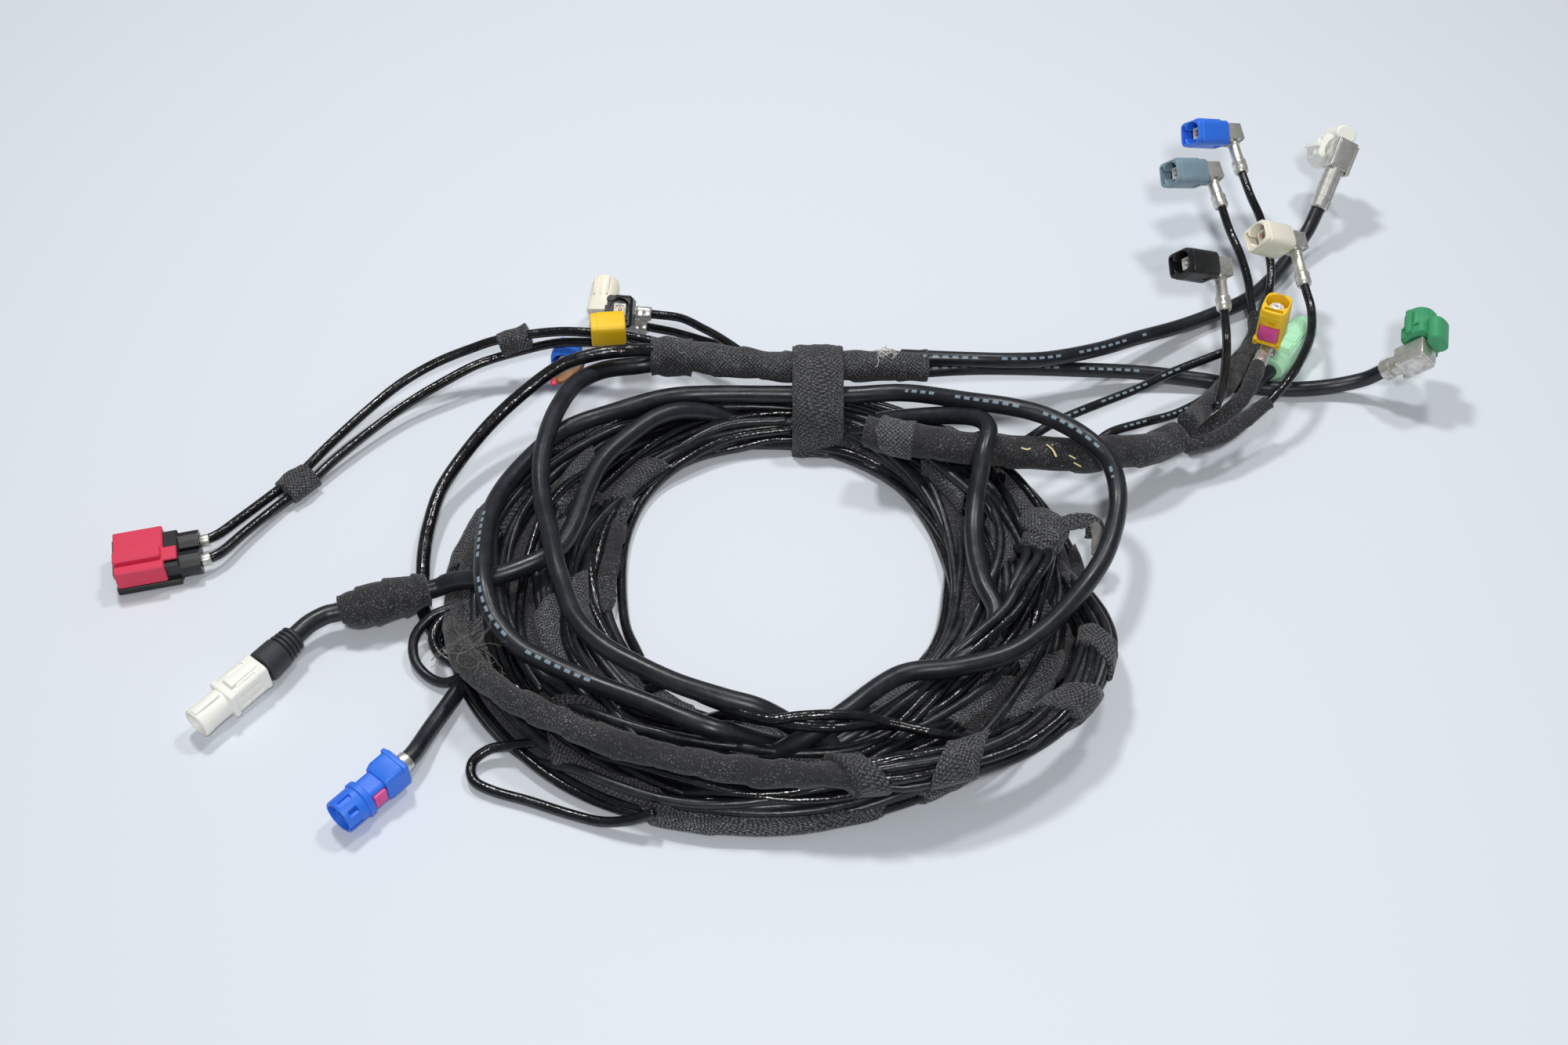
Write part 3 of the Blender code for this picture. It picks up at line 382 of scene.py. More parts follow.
def jacketMaterial(name, colour, rough, ripple, pitch, dust, marks=None):
    # extruded cable jacket: a smooth black skin that shows the braid under it as soft uneven ripples, so that
    # its highlight breaks up into short beads, with a film of dust that is paler and duller
    material = newMaterial(name, IOR=1.48)
    spot = addNode(material, "ShaderNodeUVMap").outputs["UV"]
    place = addNode(material, "ShaderNodeTexCoord").outputs["Object"]
    stretch = addNode(material, "ShaderNodeMapping", {"Scale": (1 / pitch, 1.6 / pitch, 1.0)},
                      {"Vector": spot})
    braid = noise(material, stretch.outputs[0], 1.0, 2.0, 0.55)
    soft = noise(material, place, 700.0, 2.0)
    film = noise(material, place, 110.0, 6.0, 0.72)
    tint = blend(material, remap(material, film, 0.46, 0.80, 0.0, dust), colour, "#62666C")
    if marks:
        tint = dashMarks(material, spot, tint, marks)
    lump = bump(material, braid, 1.0, ripple * mm)
    return dress(material, Base_Color=tint, Roughness=remap(material, film, 0.3, 0.75, rough, rough + 0.2),
                 Normal=bump(material, soft, 0.25, 0.00004, lump))


def dashMarks(material, spot, under, rows):
    # plain pale dashes in a row along the jacket where the real one is printed: even ones, in even groups. A
    # place is on a dash where the distance along it, folded back and forth, is over a limit, once for the
    # dashes and once for the groups.
    along, around = addNode(material, "ShaderNodeSeparateXYZ", None, {"Vector": spot}).outputs[:2]
    def between(value, low, top):
        return reckon(material, "MULTIPLY", reckon(material, "GREATER_THAN", value, low),
                      reckon(material, "LESS_THAN", value, top))
    def folded(half, limit):
        return reckon(material, "GREATER_THAN", reckon(material, "PINGPONG", along, half), limit)
    inRow = None
    for first, last, middle, high in rows:
        band = reckon(material, "MULTIPLY", between(along, first, last),
                      between(around, middle - high / 2, middle + high / 2))
        inRow = reckon(material, "ADD", inRow, band) if inRow else band
    dashes = reckon(material, "MULTIPLY", folded(1.6, 0.65), folded(14.4, 3.2))
    faint = reckon(material, "MULTIPLY", reckon(material, "MULTIPLY", inRow, dashes), 0.6)
    return blend(material, faint, under, "#9FB4C4")


def clothMaterial(name, colour, pale, thread, fibreAndSheen):
    # woven cloth tape: a diagonal weave of fine threads, duller than the jackets, with a painted sheen: the
    # threads' crossings painted paler, and pale broken fibres that catch the light as small dots
    material = newMaterial(name, Roughness=0.82, Sheen_Weight=0.12, Sheen_Roughness=0.45)
    spot = addNode(material, "ShaderNodeUVMap").outputs["UV"]
    place = addNode(material, "ShaderNodeTexCoord").outputs["Object"]
    threads = []
    for degrees in (34, -56):
        laid = addNode(material, "ShaderNodeMapping", {"Scale": (1 / thread, 1 / thread, 1.0),
                       "Rotation": (0, 0, math.radians(degrees))}, {"Vector": spot})
        rows = {"bands_direction": "X", "Scale": 0.32, "Distortion": 1.2, "Detail": 1.0, "Detail Scale": 1.5}
        threads.append(addNode(material, "ShaderNodeTexWave", rows,
                               {"Vector": laid.outputs[0]}).outputs["Fac"])
    weave = reckon(material, "MULTIPLY", *threads)
    speck = noise(material, place, 2300.0, 1.0)
    worn = noise(material, place, 60.0, 5.0, 0.65)
    fibres = reckon(material, "MULTIPLY", remap(material, speck, 0.54, 0.70, 0.0, fibreAndSheen),
                    remap(material, worn, 0.30, 0.70, 0.25))
    # paler where the threads cross: a painted sheen; the fibre dots are partly pale fibre colour and partly
    # painted glints
    paleShare = reckon(material, "MULTIPLY_ADD", weave, fibreAndSheen * 0.45, fibres)
    lump = bump(material, weave, 0.8, 0.00016)
    return dress(material, Base_Color=blend(material, paleShare, colour, pale),
                 Normal=bump(material, speck, 0.6, 0.00010, lump))


def fleeceMaterial(name, colour, pale):
    # fleece tape: a matted nap of short fibres, grainy and dull, with knots that catch the light as pale
    # specks
    material = newMaterial(name, Roughness=0.95, Sheen_Weight=0.15, Sheen_Roughness=0.5)
    place = addNode(material, "ShaderNodeTexCoord").outputs["Object"]
    knot = noise(material, place, 1900.0, 1.0)
    nap = noise(material, place, 800.0, 4.0, 0.65)
    patch = noise(material, place, 55.0, 4.0)
    specks = reckon(material, "MULTIPLY", remap(material, knot, 0.57, 0.72, 0.0, 0.75),
                    remap(material, patch, 0.35, 0.7, 0.15))
    cloudy = reckon(material, "MULTIPLY_ADD", nap, 0.10, specks)
    lump = bump(material, nap, 0.9, 0.00035)
    return dress(material, Base_Color=blend(material, cloudy, colour, pale),
                 Normal=bump(material, knot, 0.6, 0.00014, lump))


def mouldedMaterial(name, colour, worn, rough=0.38):
    # injection-moulded PBT: an even satin colour with a fine spark-eroded grain and scuffs that are paler
    material = newMaterial(name, IOR=1.5)
    place = addNode(material, "ShaderNodeTexCoord").outputs["Object"]
    grain = noise(material, place, 1800.0, 2.0)
    scuff = noise(material, place, 240.0, 6.0, 0.7)
    scuffed = remap(material, scuff, 0.56, 0.8, 0.0, 0.4)
    return dress(material, Base_Color=blend(material, scuffed, colour, worn),
                 Roughness=remap(material, scuff, 0.3, 0.8, rough, rough + 0.2),
                 Normal=bump(material, grain, 0.15, 0.00008))


def metalMaterial(name, colour, dull, rough, metal=1.0):
    # tin-plated sheet: a pale metal with cloudy dull patches left by the plating and the crimp tool
    material = newMaterial(name, Metallic=metal)
    place = addNode(material, "ShaderNodeTexCoord").outputs["Object"]
    cloud = noise(material, place, 420.0, 4.0, 0.6)
    return dress(material, Base_Color=blend(material, remap(material, cloud, 0.38, 0.68), colour, dull),
                 Roughness=remap(material, cloud, 0.3, 0.7, rough, rough + 0.25),
                 Normal=bump(material, cloud, 0.3, 0.00005))


# the finishes by the function that makes them, each with its colours and measures
satinSkin = ("#181B21", 0.27, 0.10, 5.0, 0.14)
finishTables = {
    jacketMaterial: {
        "satinJacket": satinSkin,
        "printedJacket": (*satinSkin, [(165, 245, 6.2, 1.0), (405, 490, 3.2, 1.0)]),
        "printedLead": (*satinSkin, [(4, 92, 2.4, 0.9)]),
        "printedCoax": ("#101114", 0.24, 0.22, 2.6, 0.12, [(14, 70, 1.6, 0.75)]),
        "glossJacket": ("#0D0E11", 0.12, 0.24, 2.6, 0.09),
        "strandJacket": ("#16181C", 0.26, 0.18, 3.4, 0.22),
    },
    clothMaterial: {
        "clothTape": ("#0E0E10", "#ABADB3", 1.0, 0.50),
        "paleClothTape": ("#151619", "#B9BBC1", 1.0, 0.66),
    },
    fleeceMaterial: {"fleeceTape": ("#121214", "#8C8D91")},
    mouldedMaterial: {
        "blueMoulding": ("#2A72E8", "#6FA2F2"),
        "greyMoulding": ("#7E95A3", "#A9BAC4"),
        "blackMoulding": ("#17181A", "#4A4C50", 0.3),
        "creamMoulding": ("#F2ECDA", "#FAF6EA"),
        "yellowMoulding": ("#F3C514", "#F9DA5C"),
        "pinkMoulding": ("#E0509A", "#EE8ABF"),
        "mintMoulding": ("#B7EEC4", "#D2F6DB"),
        "whiteMoulding": ("#F3F2EA", "#FBFAF5"),
        "greenMoulding": ("#3E9A68", "#74BC95"),
        "crimsonMoulding": ("#D92F52", "#EE6F86"),
        "brownMoulding": ("#8A5A22", "#B98A4A"),
        "ribbedRubber": ("#2A2D31", "#474A4F", 0.52),
        "tornFilm": ("#6C6A66", "#A8A49C", 0.45),
        "frayedThread": ("#B9B8B2", "#E2E1DC", 0.7),
        "greyHair": ("#6A665F", "#8F8A82", 0.6),
        "strawFibre": ("#D9C79A", "#EFE3C2", 0.7),
    },
    metalMaterial: {
        "tinnedSheet": ("#DEDCD6", "#B4B2AA", 0.26, 0.8),
        "copperContact": ("#E0A98C", "#C58868", 0.25),
        "brightContact": ("#F2F0EC", "#D8D5CE", 0.38, 0.45),
    },
}
finishes = {name: make(name, *values) for make, table in finishTables.items() for name,
            values in table.items()}
# the record's material slot that each finish stands for
slotFinishes = {
    "cable_jacket": ("satinJacket", "printedJacket", "printedLead"),
    "coax_jacket": ("printedCoax", "glossJacket", "strandJacket"),
    "cloth_tape": ("clothTape", "paleClothTape"),
    "fleece_wrap": ("fleeceTape",),
    "boot_rubber": ("ribbedRubber",),
    "tinned_metal": ("tinnedSheet", "copperContact", "brightContact"),
}
finishSlots = {finish: slot for slot, names in slotFinishes.items() for finish in names}
for colour in ("blue", "grey", "black", "cream", "yellow", "pink", "mint", "white", "green", "crimson"):
    finishSlots[colour + "Moulding"] = colour + "_plastic"
print("materials:", len(finishes))
# routes of the cables and wraps: the same points as in the part's source, in mm

routes = {
    "outer_loop_cable": [
        (22, -60, 22), (33.5, -49, 21), (42, -43.5, 20), (56, -41.5, 20), (71, -36.5, 20),
        (84, -25.5, 20), (95, -11.5, 20), (103, 1.5, 22), (108, 19, 24), (106.5, 31.5, 28),
        (99.5, 39.5, 31), (89.5, 48, 31), (79, 52.5, 31), (66, 58.5, 28), (45.5, 69.5, 21),
        (27, 72, 17.6), (6, 73, 17), (-20.5, 73, 17), (-34.5, 70, 18), (-48.5, 63, 19),
        (-62.5, 56.5, 18.5), (-71, 47.5, 18.5), (-80, 30.5, 20), (-83.5, 16, 22), (-83.5, -1, 25),
        (-82, -15.5, 26), (-78.5, -26, 24), (-70.5, -35.5, 22), (-60.5, -41.5, 21), (-48, -47.5, 20),
        (-33.5, -54, 20), (-16, -62.5, 20),
    ],
    "left_loop_cable": [
        (-42, 85, 18.5), (-53.5, 81, 20.2), (-61.5, 72, 22.6), (-66, 59.5, 24.4), (-68.5, 47, 24.9),
        (-69.5, 34, 24.2), (-68, 20.5, 23.4), (-64.5, 6.5, 24.3), (-62, -5, 25), (-59, -15, 25),
        (-54, -28.5, 26), (-46, -38.5, 26.5), (-36, -45.5, 26.5), (-24, -52, 26), (-11, -56.5, 25),
        (-1, -58.5, 23),
    ],
    "white_plug_cable": [
        (-35.5, 61, 18), (-44, 52.5, 18), (-51.5, 42, 18), (-55.5, 29.5, 18), (-58, 16.5, 18),
        (-61.5, 6.5, 18), (-66.5, 1, 18.5), (-73, -2.5, 18), (-80, -5, 17.2), (-86, -5, 16),
        (-92, -3.2, 13.2), (-96.5, -2.6, 10.9), (-101.4, -4, 9.4),
    ],
    "glossy_loop_cable": [
        (-34, 85.5, 24.5), (-40, 84.5, 26), (-45.5, 82.5, 27.5), (-54.5, 81, 27.5), (-66, 78.5, 25),
        (-77.5, 72, 20), (-88, 63, 15), (-96.5, 52, 11), (-103, 39.5, 8), (-105.5, 26, 6), (-106, 15, 5),
        (-105.5, 6, 4),
    ],
    "inner_cable": [
        (70, 45.5, 28.5), (68, 36.5, 27.5), (66.5, 30, 24), (65, 22, 20.5), (64, 13.5, 18.5),
        (64, 2.5, 18), (65.5, -9, 18), (68.5, -18, 17),
    ],
    "fleece_trunk": [
        (-84.5, -38.5, 16.5), (-69.5, -52, 17.6), (-51, -63, 18.8), (-33, -70, 18.6),
        (-15.5, -74.5, 18.5), (6, -77.5, 18.3), (27.5, -77.5, 18.1), (49, -74.5, 18), (71.5, -65.5, 17.6),
        (88.5, -50.5, 17), (97, -32.5, 16),
    ],
    "taped_trunk": [
        (-33, 85.5, 24), (-20, 85, 22), (-4.5, 82.5, 21.5), (11, 81, 21.5), (26.5, 82, 21),
        (45.5, 83.5, 20),
    ],
    "fleece_sleeve": [
        (32.5, 52.5, 19.8), (43.5, 50, 19.8), (55.5, 47.5, 19.8), (70.5, 45.5, 19.6), (85, 43.5, 20),
        (100, 43, 19.5), (113, 46, 17.5), (124, 51, 15), (132.5, 57, 12.5),
    ],
    "sleeve_branch_a": [
        (135.6, 58.6, 18.6), (146.5, 73.5, 14.4), (155, 87, 11), (161, 98.5, 8), (168, 112, 5.5),
        (170.5, 122, 6),
    ],
    "sleeve_branch_b": [
        (137.5, 65, 5.5), (147, 68.5, 8), (155.5, 75, 11.5), (160.6, 81.5, 15), (163.2, 87.6, 15.8),
    ],
    "sleeve_branch_c": [(135.7, 54.1, 11.9), (145, 57.5, 12), (155, 64, 13.5), (163.5, 70.5, 15)],
    "white_data_lead": [
        (46.1, 85.5, 22), (65.5, 85, 21.5), (81, 86, 20), (94.5, 90, 17), (112, 99.5, 12.3),
        (127, 109.5, 8.4), (142, 118.5, 5), (155.5, 126.5, 3.5), (169, 134.5, 3.5), (179.5, 145, 4),
        (187.5, 155.5, 6), (194.5, 164.5, 9.5), (198.5, 171, 14),
    ],
    "green_data_lead": [
        (46.2, 84.5, 16.4), (66, 87, 15.5), (84.5, 90, 12.7), (106.5, 93.5, 8.5), (125.5, 95.5, 5.5),
        (144, 94.5, 3.6), (162.5, 91.5, 2.7), (178, 90.2, 2.7), (191, 90.8, 3.6), (200.8, 90.3, 7.2),
        (205.5, 89, 12),
    ],
    "mint_data_lead": [(159.5, 82, 8.1), (165, 88.3, 8.5), (170, 94, 7.6)],
    "blue_lead": [
        (169.9, 174.9, 27), (172, 166.5, 24), (175, 159.5, 20), (177, 151, 15), (177.5, 141.5, 11),
        (175.5, 132, 8), (172.2, 124.4, 6.6),
    ],
    "grey_lead": [
        (160.5, 158, 25), (162.5, 151, 21.5), (165.5, 141.5, 18), (168, 133.5, 12.5), (168.8, 124.4, 6.8),
    ],
    "black_lead": [
        (154.1, 107.1, 22), (154.2, 98, 17.5), (151.5, 84, 17.5), (148.2, 73, 19), (145.8, 65.5, 20.2),
    ],
    "cream_lead": [
        (183.5, 119.8, 22), (184.6, 111, 19.2), (182, 98.5, 18.5), (175, 84, 19), (168.5, 75, 17.5),
        (164.2, 71, 15.2),
    ],
    "printed_lead_1": [
        (97, 58, 22), (109.5, 67.5, 19), (122.5, 77, 16), (135, 87, 13.5), (152.2, 95.4, 14.2),
    ],
    "printed_lead_2": [
        (110, 51.7, 20.9), (120.5, 59.5, 17), (133, 69.5, 11), (142, 77, 8.3), (147, 81.2, 8),
    ],
    "twin_lead_back": [
        (-30, 91.2, 20.8), (-37, 94, 21), (-46, 96, 21.5), (-60.5, 98, 21.5), (-72.5, 99.5, 20),
        (-88.5, 99, 17.5), (-99, 97, 15), (-111, 93, 12), (-122.5, 86.5, 8.5), (-133, 75.5, 6),
        (-143, 62, 4.5), (-150, 50.5, 4), (-157, 41.5, 4), (-166.5, 29, 4.6), (-171.6, 22.6, 4.9),
        (-175.8, 20, 4.9), (-178.6, 19.3, 4.9),
    ],
    "twin_lead_front": [
        (-36.5, 97, 17.5), (-49, 97, 17.5), (-61, 98.5, 16.5), (-71.5, 99.5, 15), (-85, 97.5, 12.5),
        (-97, 94, 10.5), (-108, 87.5, 8.5), (-119, 79.5, 6.5), (-129.5, 69, 5), (-139.5, 57, 4),
        (-147.5, 46, 3), (-155, 37, 3), (-163.5, 24.5, 4), (-169, 15.4, 4.8), (-173.6, 12, 4.9),
        (-176.6, 11.2, 4.9),
    ],
    "white_plug_lead": [
        (-127.9, -11.2, 7.8), (-131.6, -12.3, 7.8), (-136.2, -15.8, 7.8), (-139.4, -20.2, 7.8),
    ],
    "blue_data_lead": [(-103.05, -66.85, 6.2), (-99.5, -61.9, 6.0), (-96, -51.5, 4), (-90.4, -38.2, 3)],
    "torn_black_lead": [(-38.5, 113, 16), (-29, 110, 17), (-21, 102.5, 19), (-15.5, 96.5, 20.5)],
    "cream_back_lead": [(-40, 113, 10), (-31.5, 109, 11.5), (-22, 103, 13.5), (-15.5, 99, 14.5)],
}


# each cable: its diameter, finish, the pieces of the connector at its far end, True where the route starts at
# that end, and how it goes on past the part's route at both ends, down among the strands or into the tape
# that holds it
cables = {
    "outer_loop_cable": (5.8, "printedJacket", (), False,
                         [(-4, -68, 8.5), (4, -67.2, 13.5), (13.5, -64.6, 19.2)],
                         [(-7, -62.8, 16.5), (1, -62.5, 12), (9, -62, 8.5)]),
    "left_loop_cable": (5.8, "satinJacket", (), False,
                        [(-25, 85, 20.6), (-34, 85.5, 19.4)],
                        [(8, -60.2, 17.6), (15, -60.8, 12), (22, -60.8, 8.5)]),
    "inner_cable": (5.8, "satinJacket", (), False,
                    [(38, 64.5, 13.5), (48, 61.5, 18), (59.5, 57.8, 22.5), (67.2, 52.4, 26.6)],
                    [(66.8, -25, 16), (61, -31, 14.8), (51, -40.5, 13.9), (41, -49, 13.4), (31, -55.5, 12),
                     (21, -60.5, 9)]),
    "glossy_loop_cable": (4.4, "glossJacket", (), False,
                          [(-25.5, 85, 22.8)], [(-104.6, -3, 3.4), (-101.8, -11.5, 3.4), (-96.5, -19, 4)]),
    "white_data_lead": (5.0, "printedLead", ("white_data_housing", "white_data_terminal"), False, [], []),
    "green_data_lead": (5.0, "printedLead", ("green_data_housing", "green_data_terminal"), False, [], []),
    "blue_data_lead": (5.0, "satinJacket", ("blue_data_housing", "blue_data_lock"), True, [],
                       [(-87.2, -31, 4.2)]),
    "twin_lead_back": (3.2, "glossJacket", ("twin_cover",), False, [(-23.5, 87.2, 21.4)], []),
    "twin_lead_front": (3.2, "glossJacket", ("twin_body",), False,
                        [(-22, 88.6, 19.6), (-29, 93.2, 18.4)], []),
    "blue_lead": (3.0, "glossJacket", ("blue_coax_housing", "blue_coax_terminal"), True, [], []),
    "grey_lead": (3.0, "glossJacket", ("grey_coax_housing", "grey_coax_terminal"), True, [], []),
    "black_lead": (3.0, "glossJacket", ("black_coax_housing", "black_coax_terminal"), True, [], []),
    "cream_lead": (3.0, "glossJacket", ("cream_coax_housing", "cream_coax_terminal"), True, [], []),
    "torn_black_lead": (3.0, "glossJacket", ("torn_black_housing", "torn_black_terminal"), True, [],
                        [(-10, 90.5, 21.2), (-4.5, 84.5, 21.4)]),
    "cream_back_lead": (3.0, "glossJacket", ("cream_back_housing", "cream_back_terminal"), True, [],
                        [(-9, 92.4, 17.2), (-4, 86.8, 19.4)]),
    "printed_lead_1": (3.0, "printedCoax", (), False, [(83, 48.6, 20.6), (90, 53, 22.4)], []),
    "printed_lead_2": (3.0, "printedCoax", (), False, [(104, 47.2, 19.4)], []),
}


def layCord(name, points, diameter, finish, sides=16, step=1.5, swell=None,
            nodes=None, into=1.6):
    # a round skin along the route, run on a little into what holds each end
    line = smoothLine(points, step)
    first, last = line[0] - line[1], line[-1] - line[-2]
    line = np.vstack([line[0] + first / np.linalg.norm(first) * into, line,
                      line[-1] + last / np.linalg.norm(last) * into])
    mesh = tubeMesh(name, line, diameter / 2, sides=sides, swell=swell)
    piece = addPiece(name + "_skin", mesh, finishes[finish], *((name,) if nodes is None else nodes))


for name, (diameter, finish, onIt, fromPlug, before, after) in cables.items():
    thickOne = diameter > 4
    layCord(name, before + routes[name] + after, diameter, finish,
            sides=20 if thickOne else 14, step=1.5 if thickOne else 1.2,
            swell=waves(len(name), 3, 30, 90, 0.05))

# the white plug's cable runs from the coil through the fleece roll to the ribbed boot, as one cord
whitePath = [(-9, 70, 8), (-18, 69, 12.5), (-27.5, 65.6, 16.8)]
whitePath += routes["white_plug_cable"] + routes["white_plug_lead"]
layCord("white_plug_cable", whitePath, 5.8, "satinJacket", sides=20,
        nodes=("white_plug_cable", "white_plug_lead"))
# the mint connector's lead is a short stub
addPiece("mint_data_lead_skin", tubeMesh("mint_data_lead", smoothLine(routes["mint_data_lead"], 1.0), 2.3),
         finishes["satinJacket"], "mint_data_lead")
print("cables:", len(cables) + 2)


# wraps: tape wound round bundles, each turn lapping the last with a low step

wraps = {
    # diameter, finish, pitch of the winding, height of its step, lumps, sides
    "fleece_trunk": (7.8, "fleeceTape", 13.0, 0.5, 0.45, 32),
    "fleece_sleeve": (10.5, "fleeceTape", 21.0, 0.6, 0.40, 32),
    "taped_trunk": (10.0, "clothTape", 15.0, 0.6, 0.45, 32),
    "sleeve_branch_a": (6.6, "fleeceTape", 13.0, 0.45, 0.25, 24),
    "sleeve_branch_b": (5.2, "fleeceTape", 11.0, 0.35, 0.2, 24),
    "sleeve_branch_c": (5.2, "fleeceTape", 11.0, 0.35, 0.2, 24),
}


def woundTape(seed, pitch, step, lump):
    # a saw-tooth that climbs once each pitch and once each turn, on smooth random lumps
    rough = waves(seed, 7, 9, 42, lump)
    def height(along, angle):
        lap = (along / pitch + angle / full) % 1.0
        edge = np.minimum(lap / 0.06, 1.0)
        return step * (edge * (1.0 - lap) - 0.45) + rough(along, angle)
    return height


# where a wrap goes on past the part's route, down into the coil's edge
trunkEnd = [(97.5, -20, 12.5), (94, -6, 8), (91, 7, 5)]
wrapEnds = {
    "fleece_trunk": ([(-93, -3, 4.5), (-92.5, -16, 8.5), (-89.5, -28, 13)], trunkEnd),
    "taped_trunk": ([], [(52.5, 83.9, 19.4)]),
}
for number, (name, (diameter, finish, pitch, step, lump, sides)) in enumerate(wraps.items()):
    before, after = wrapEnds.get(name, ([], []))
    layCord(name, before + routes[name] + after, diameter, finish, sides=sides, step=0.9, into=0.5,
            swell=woundTape(40 + number, pitch, step, lump))
print("wraps:", len(wraps))


# the tied coil: the same bundles as in the part's source, each of thin coax strands that twist slowly round
# its middle

coil = {
    "outerRadii": (98.0, 87.0),
    "innerCentre": (2.5, 6.5),
    "innerRadii": (52.5, 57.5),
    "height": 14.0,
    "strand": 1.5,  # mm radius
    # place across the ring (-1 inner edge, 1 outer edge), radius, sway, start of the sway, number of strands,
    # twists, finish
    "bundles": [
        (-0.88, 2.9, 0.03, 2.6, 3, 4, "glossJacket"), (-0.66, 3.6, 0.08, 5.2, 5, -2, "strandJacket"),
        (-0.40, 3.4, 0.10, 1.2, 4, 3, "glossJacket"), (-0.13, 3.9, 0.10, 3.9, 5, -1, "strandJacket"),
        (0.14, 3.3, 0.10, 2.2, 4, 2, "strandJacket"), (0.40, 3.8, 0.10, 0.1, 5, -3, "glossJacket"),
        (0.66, 3.5, 0.08, 4.6, 5, 2, "strandJacket"), (0.89, 2.9, 0.03, 0.9, 3, -2, "glossJacket"),
    ],
    # cloth tape round a bundle: bundle, middle of the patch in degrees, half its span, slant, finish
    "patches": [
        (7, 165, 9, 4, "clothTape"), (3, 149, 10, -4, "clothTape"), (2, 172, 8, 4, "clothTape"),
        (6, 191, 10, -5, "clothTape"), (3, 204, 11, 4, "paleClothTape"), (1, 193, 9, 4, "clothTape"),
        (0, 232, 15, 5, "clothTape"), (7, 263, 14, 6, "paleClothTape"), (2, 269, 9, -4, "clothTape"),
        (0, 271, 9, 4, "clothTape"), (4, 275, 10, 6, "paleClothTape"), (6, 306, 11, -6, "clothTape"),
        (7, 305, 9, 5, "paleClothTape"), (7, 285, 7, -5, "clothTape"), (6, 329, 9, 5, "clothTape"),
        (7, 322, 8, 5, "clothTape"), (7, 345, 9, 4, "fleeceTape"), (5, 343, 9, -4, "clothTape"),
        (5, 21, 9, 5, "clothTape"), (2, 34, 9, 4, "clothTape"), (7, 2, 8, 4, "fleeceTape"),
        (5, 159, 9, -5, "clothTape"), (4, 318, 8, 4, "clothTape"), (1, 310, 9, 5, "clothTape"),
        (6, 240, 12, 5, "clothTape"), (4, 232, 9, -5, "clothTape"), (6, 41, 10, -4, "clothTape"),
        (3, 8, 8, 4, "clothTape"), (1, 142, 10, 4, "clothTape"), (6, 138, 9, 4, "clothTape"),
        (5, 290, 7, 4, "clothTape"), (3, 330, 8, -4, "clothTape"),
    ],
    # single strands that cross the bundles: first and last turn in degrees, place across at each end
    "strays": [
        (196, 262, -0.55, 0.30), (204, 276, 0.75, 0.05), (222, 300, 0.10, -0.45), (236, 318, 0.52, 0.80),
        (246, 330, -0.20, 0.25), (262, 348, 0.30, -0.35), (284, 352, 0.86, 0.45), (300, 372, -0.05, 0.30),
        (318, 392, -0.55, -0.10), (336, 398, 0.35, 0.72), (120, 196, 0.10, 0.62), (126, 210, -0.35, 0.12),
        (136, 216, 0.60, 0.20), (150, 232, -0.70, -0.28), (10, 66, -0.20, -0.55), (4, 58, 0.20, 0.50),
        (228, 292, 0.90, 0.60), (256, 312, 0.66, 0.22),
    ],
}


def oval(across):
    # height of the mound over the place across it: height * sqrt(1 - across^2)
    return coil["height"] * np.sqrt(np.maximum(1.0 - across**2, 0.0))


def ringSpot(turn, across, up):
    # between the ring's inner oval (across -1) and its outer oval (across 1), up mm above the floor
    outer = np.stack([coil["outerRadii"][0] * np.cos(turn), coil["outerRadii"][1] * np.sin(turn)], axis=-1)
    inner = np.stack([coil["innerCentre"][0] + coil["innerRadii"][0] * np.cos(turn),
                      coil["innerCentre"][1] + coil["innerRadii"][1] * np.sin(turn)], axis=-1)
    flat = (outer + inner) / 2 + (outer - inner) / 2 * np.asarray(across)[..., None]
    half = np.linalg.norm(outer - inner, axis=-1) / 2
    return np.concatenate([flat, (up * np.ones_like(turn))[..., None]], axis=-1), half


def bundlePlace(number, turn):
    # place across the ring: its own place + sway * (sin(2 turn + start) + 0.6 sin(3 turn + 2 start))
    place, _, sway, start = coil["bundles"][number][:4]
    return place + sway * (np.sin(2 * turn + start) + 0.6 * np.sin(3 * turn + 2 * start))


def bundleLine(number, turn):
    # the bundle's middle, its back touching the oval mound
    radius = coil["bundles"][number][1]
    across = bundlePlace(number, turn)
    spot = ringSpot(turn, across, 0.0)[0]
    spot[:, 2] = np.maximum(oval(across) - radius, radius + 0.15)
    return spot


def moundTop(turn, across):
    # height of the bundles' backs over a place, as in the part's source
    half = ringSpot(turn, across, 0.0)[1]
    top = 0.74 * oval(across)
    for number, bundle in enumerate(coil["bundles"]):
        middle, radius = bundlePlace(number, turn), bundle[1]
        beside = (across - middle) * half
        back = np.maximum(oval(middle) - radius, radius) + np.sqrt(np.maximum(radius**2 - beside**2, 0.0))
        top = np.where(np.abs(beside) < radius, np.maximum(top, back), top)
    return top


def roundLine(line, side, upper, away, angle):
    # points that stand away from the line, at an angle from its side towards its upper way
    return line + (away * np.cos(angle))[:, None] * side + (away * np.sin(angle))[:, None] * upper


def strandLines(line, radius, count, twists, seed):
    # Strands stand round the line, radius - strand from it, and twist slowly along it. The angle of each is
    # its share of a turn + twists * turn along the line + a slow random wander.
    pick = np.random.default_rng(seed)
    side, upper = ringFrames(line, closed=True)[1:]
    share = np.linspace(0, full, len(line), endpoint=False)
    lines = []
    for strand in range(count):
        wander = 0.40 * np.sin(share * pick.integers(3, 9) + pick.uniform(0, full))
        angle = full * strand / count + twists * share + wander
        swing = np.sin(share * pick.integers(4, 11) + pick.uniform(0, full))
        away = (radius - coil["strand"]) * (0.86 + 0.14 * swing)
        spot = roundLine(line, side, upper, away, angle)
        spot[:, 2] = np.maximum(spot[:, 2], coil["strand"] + 0.15)
        lines.append(spot)
    return lines


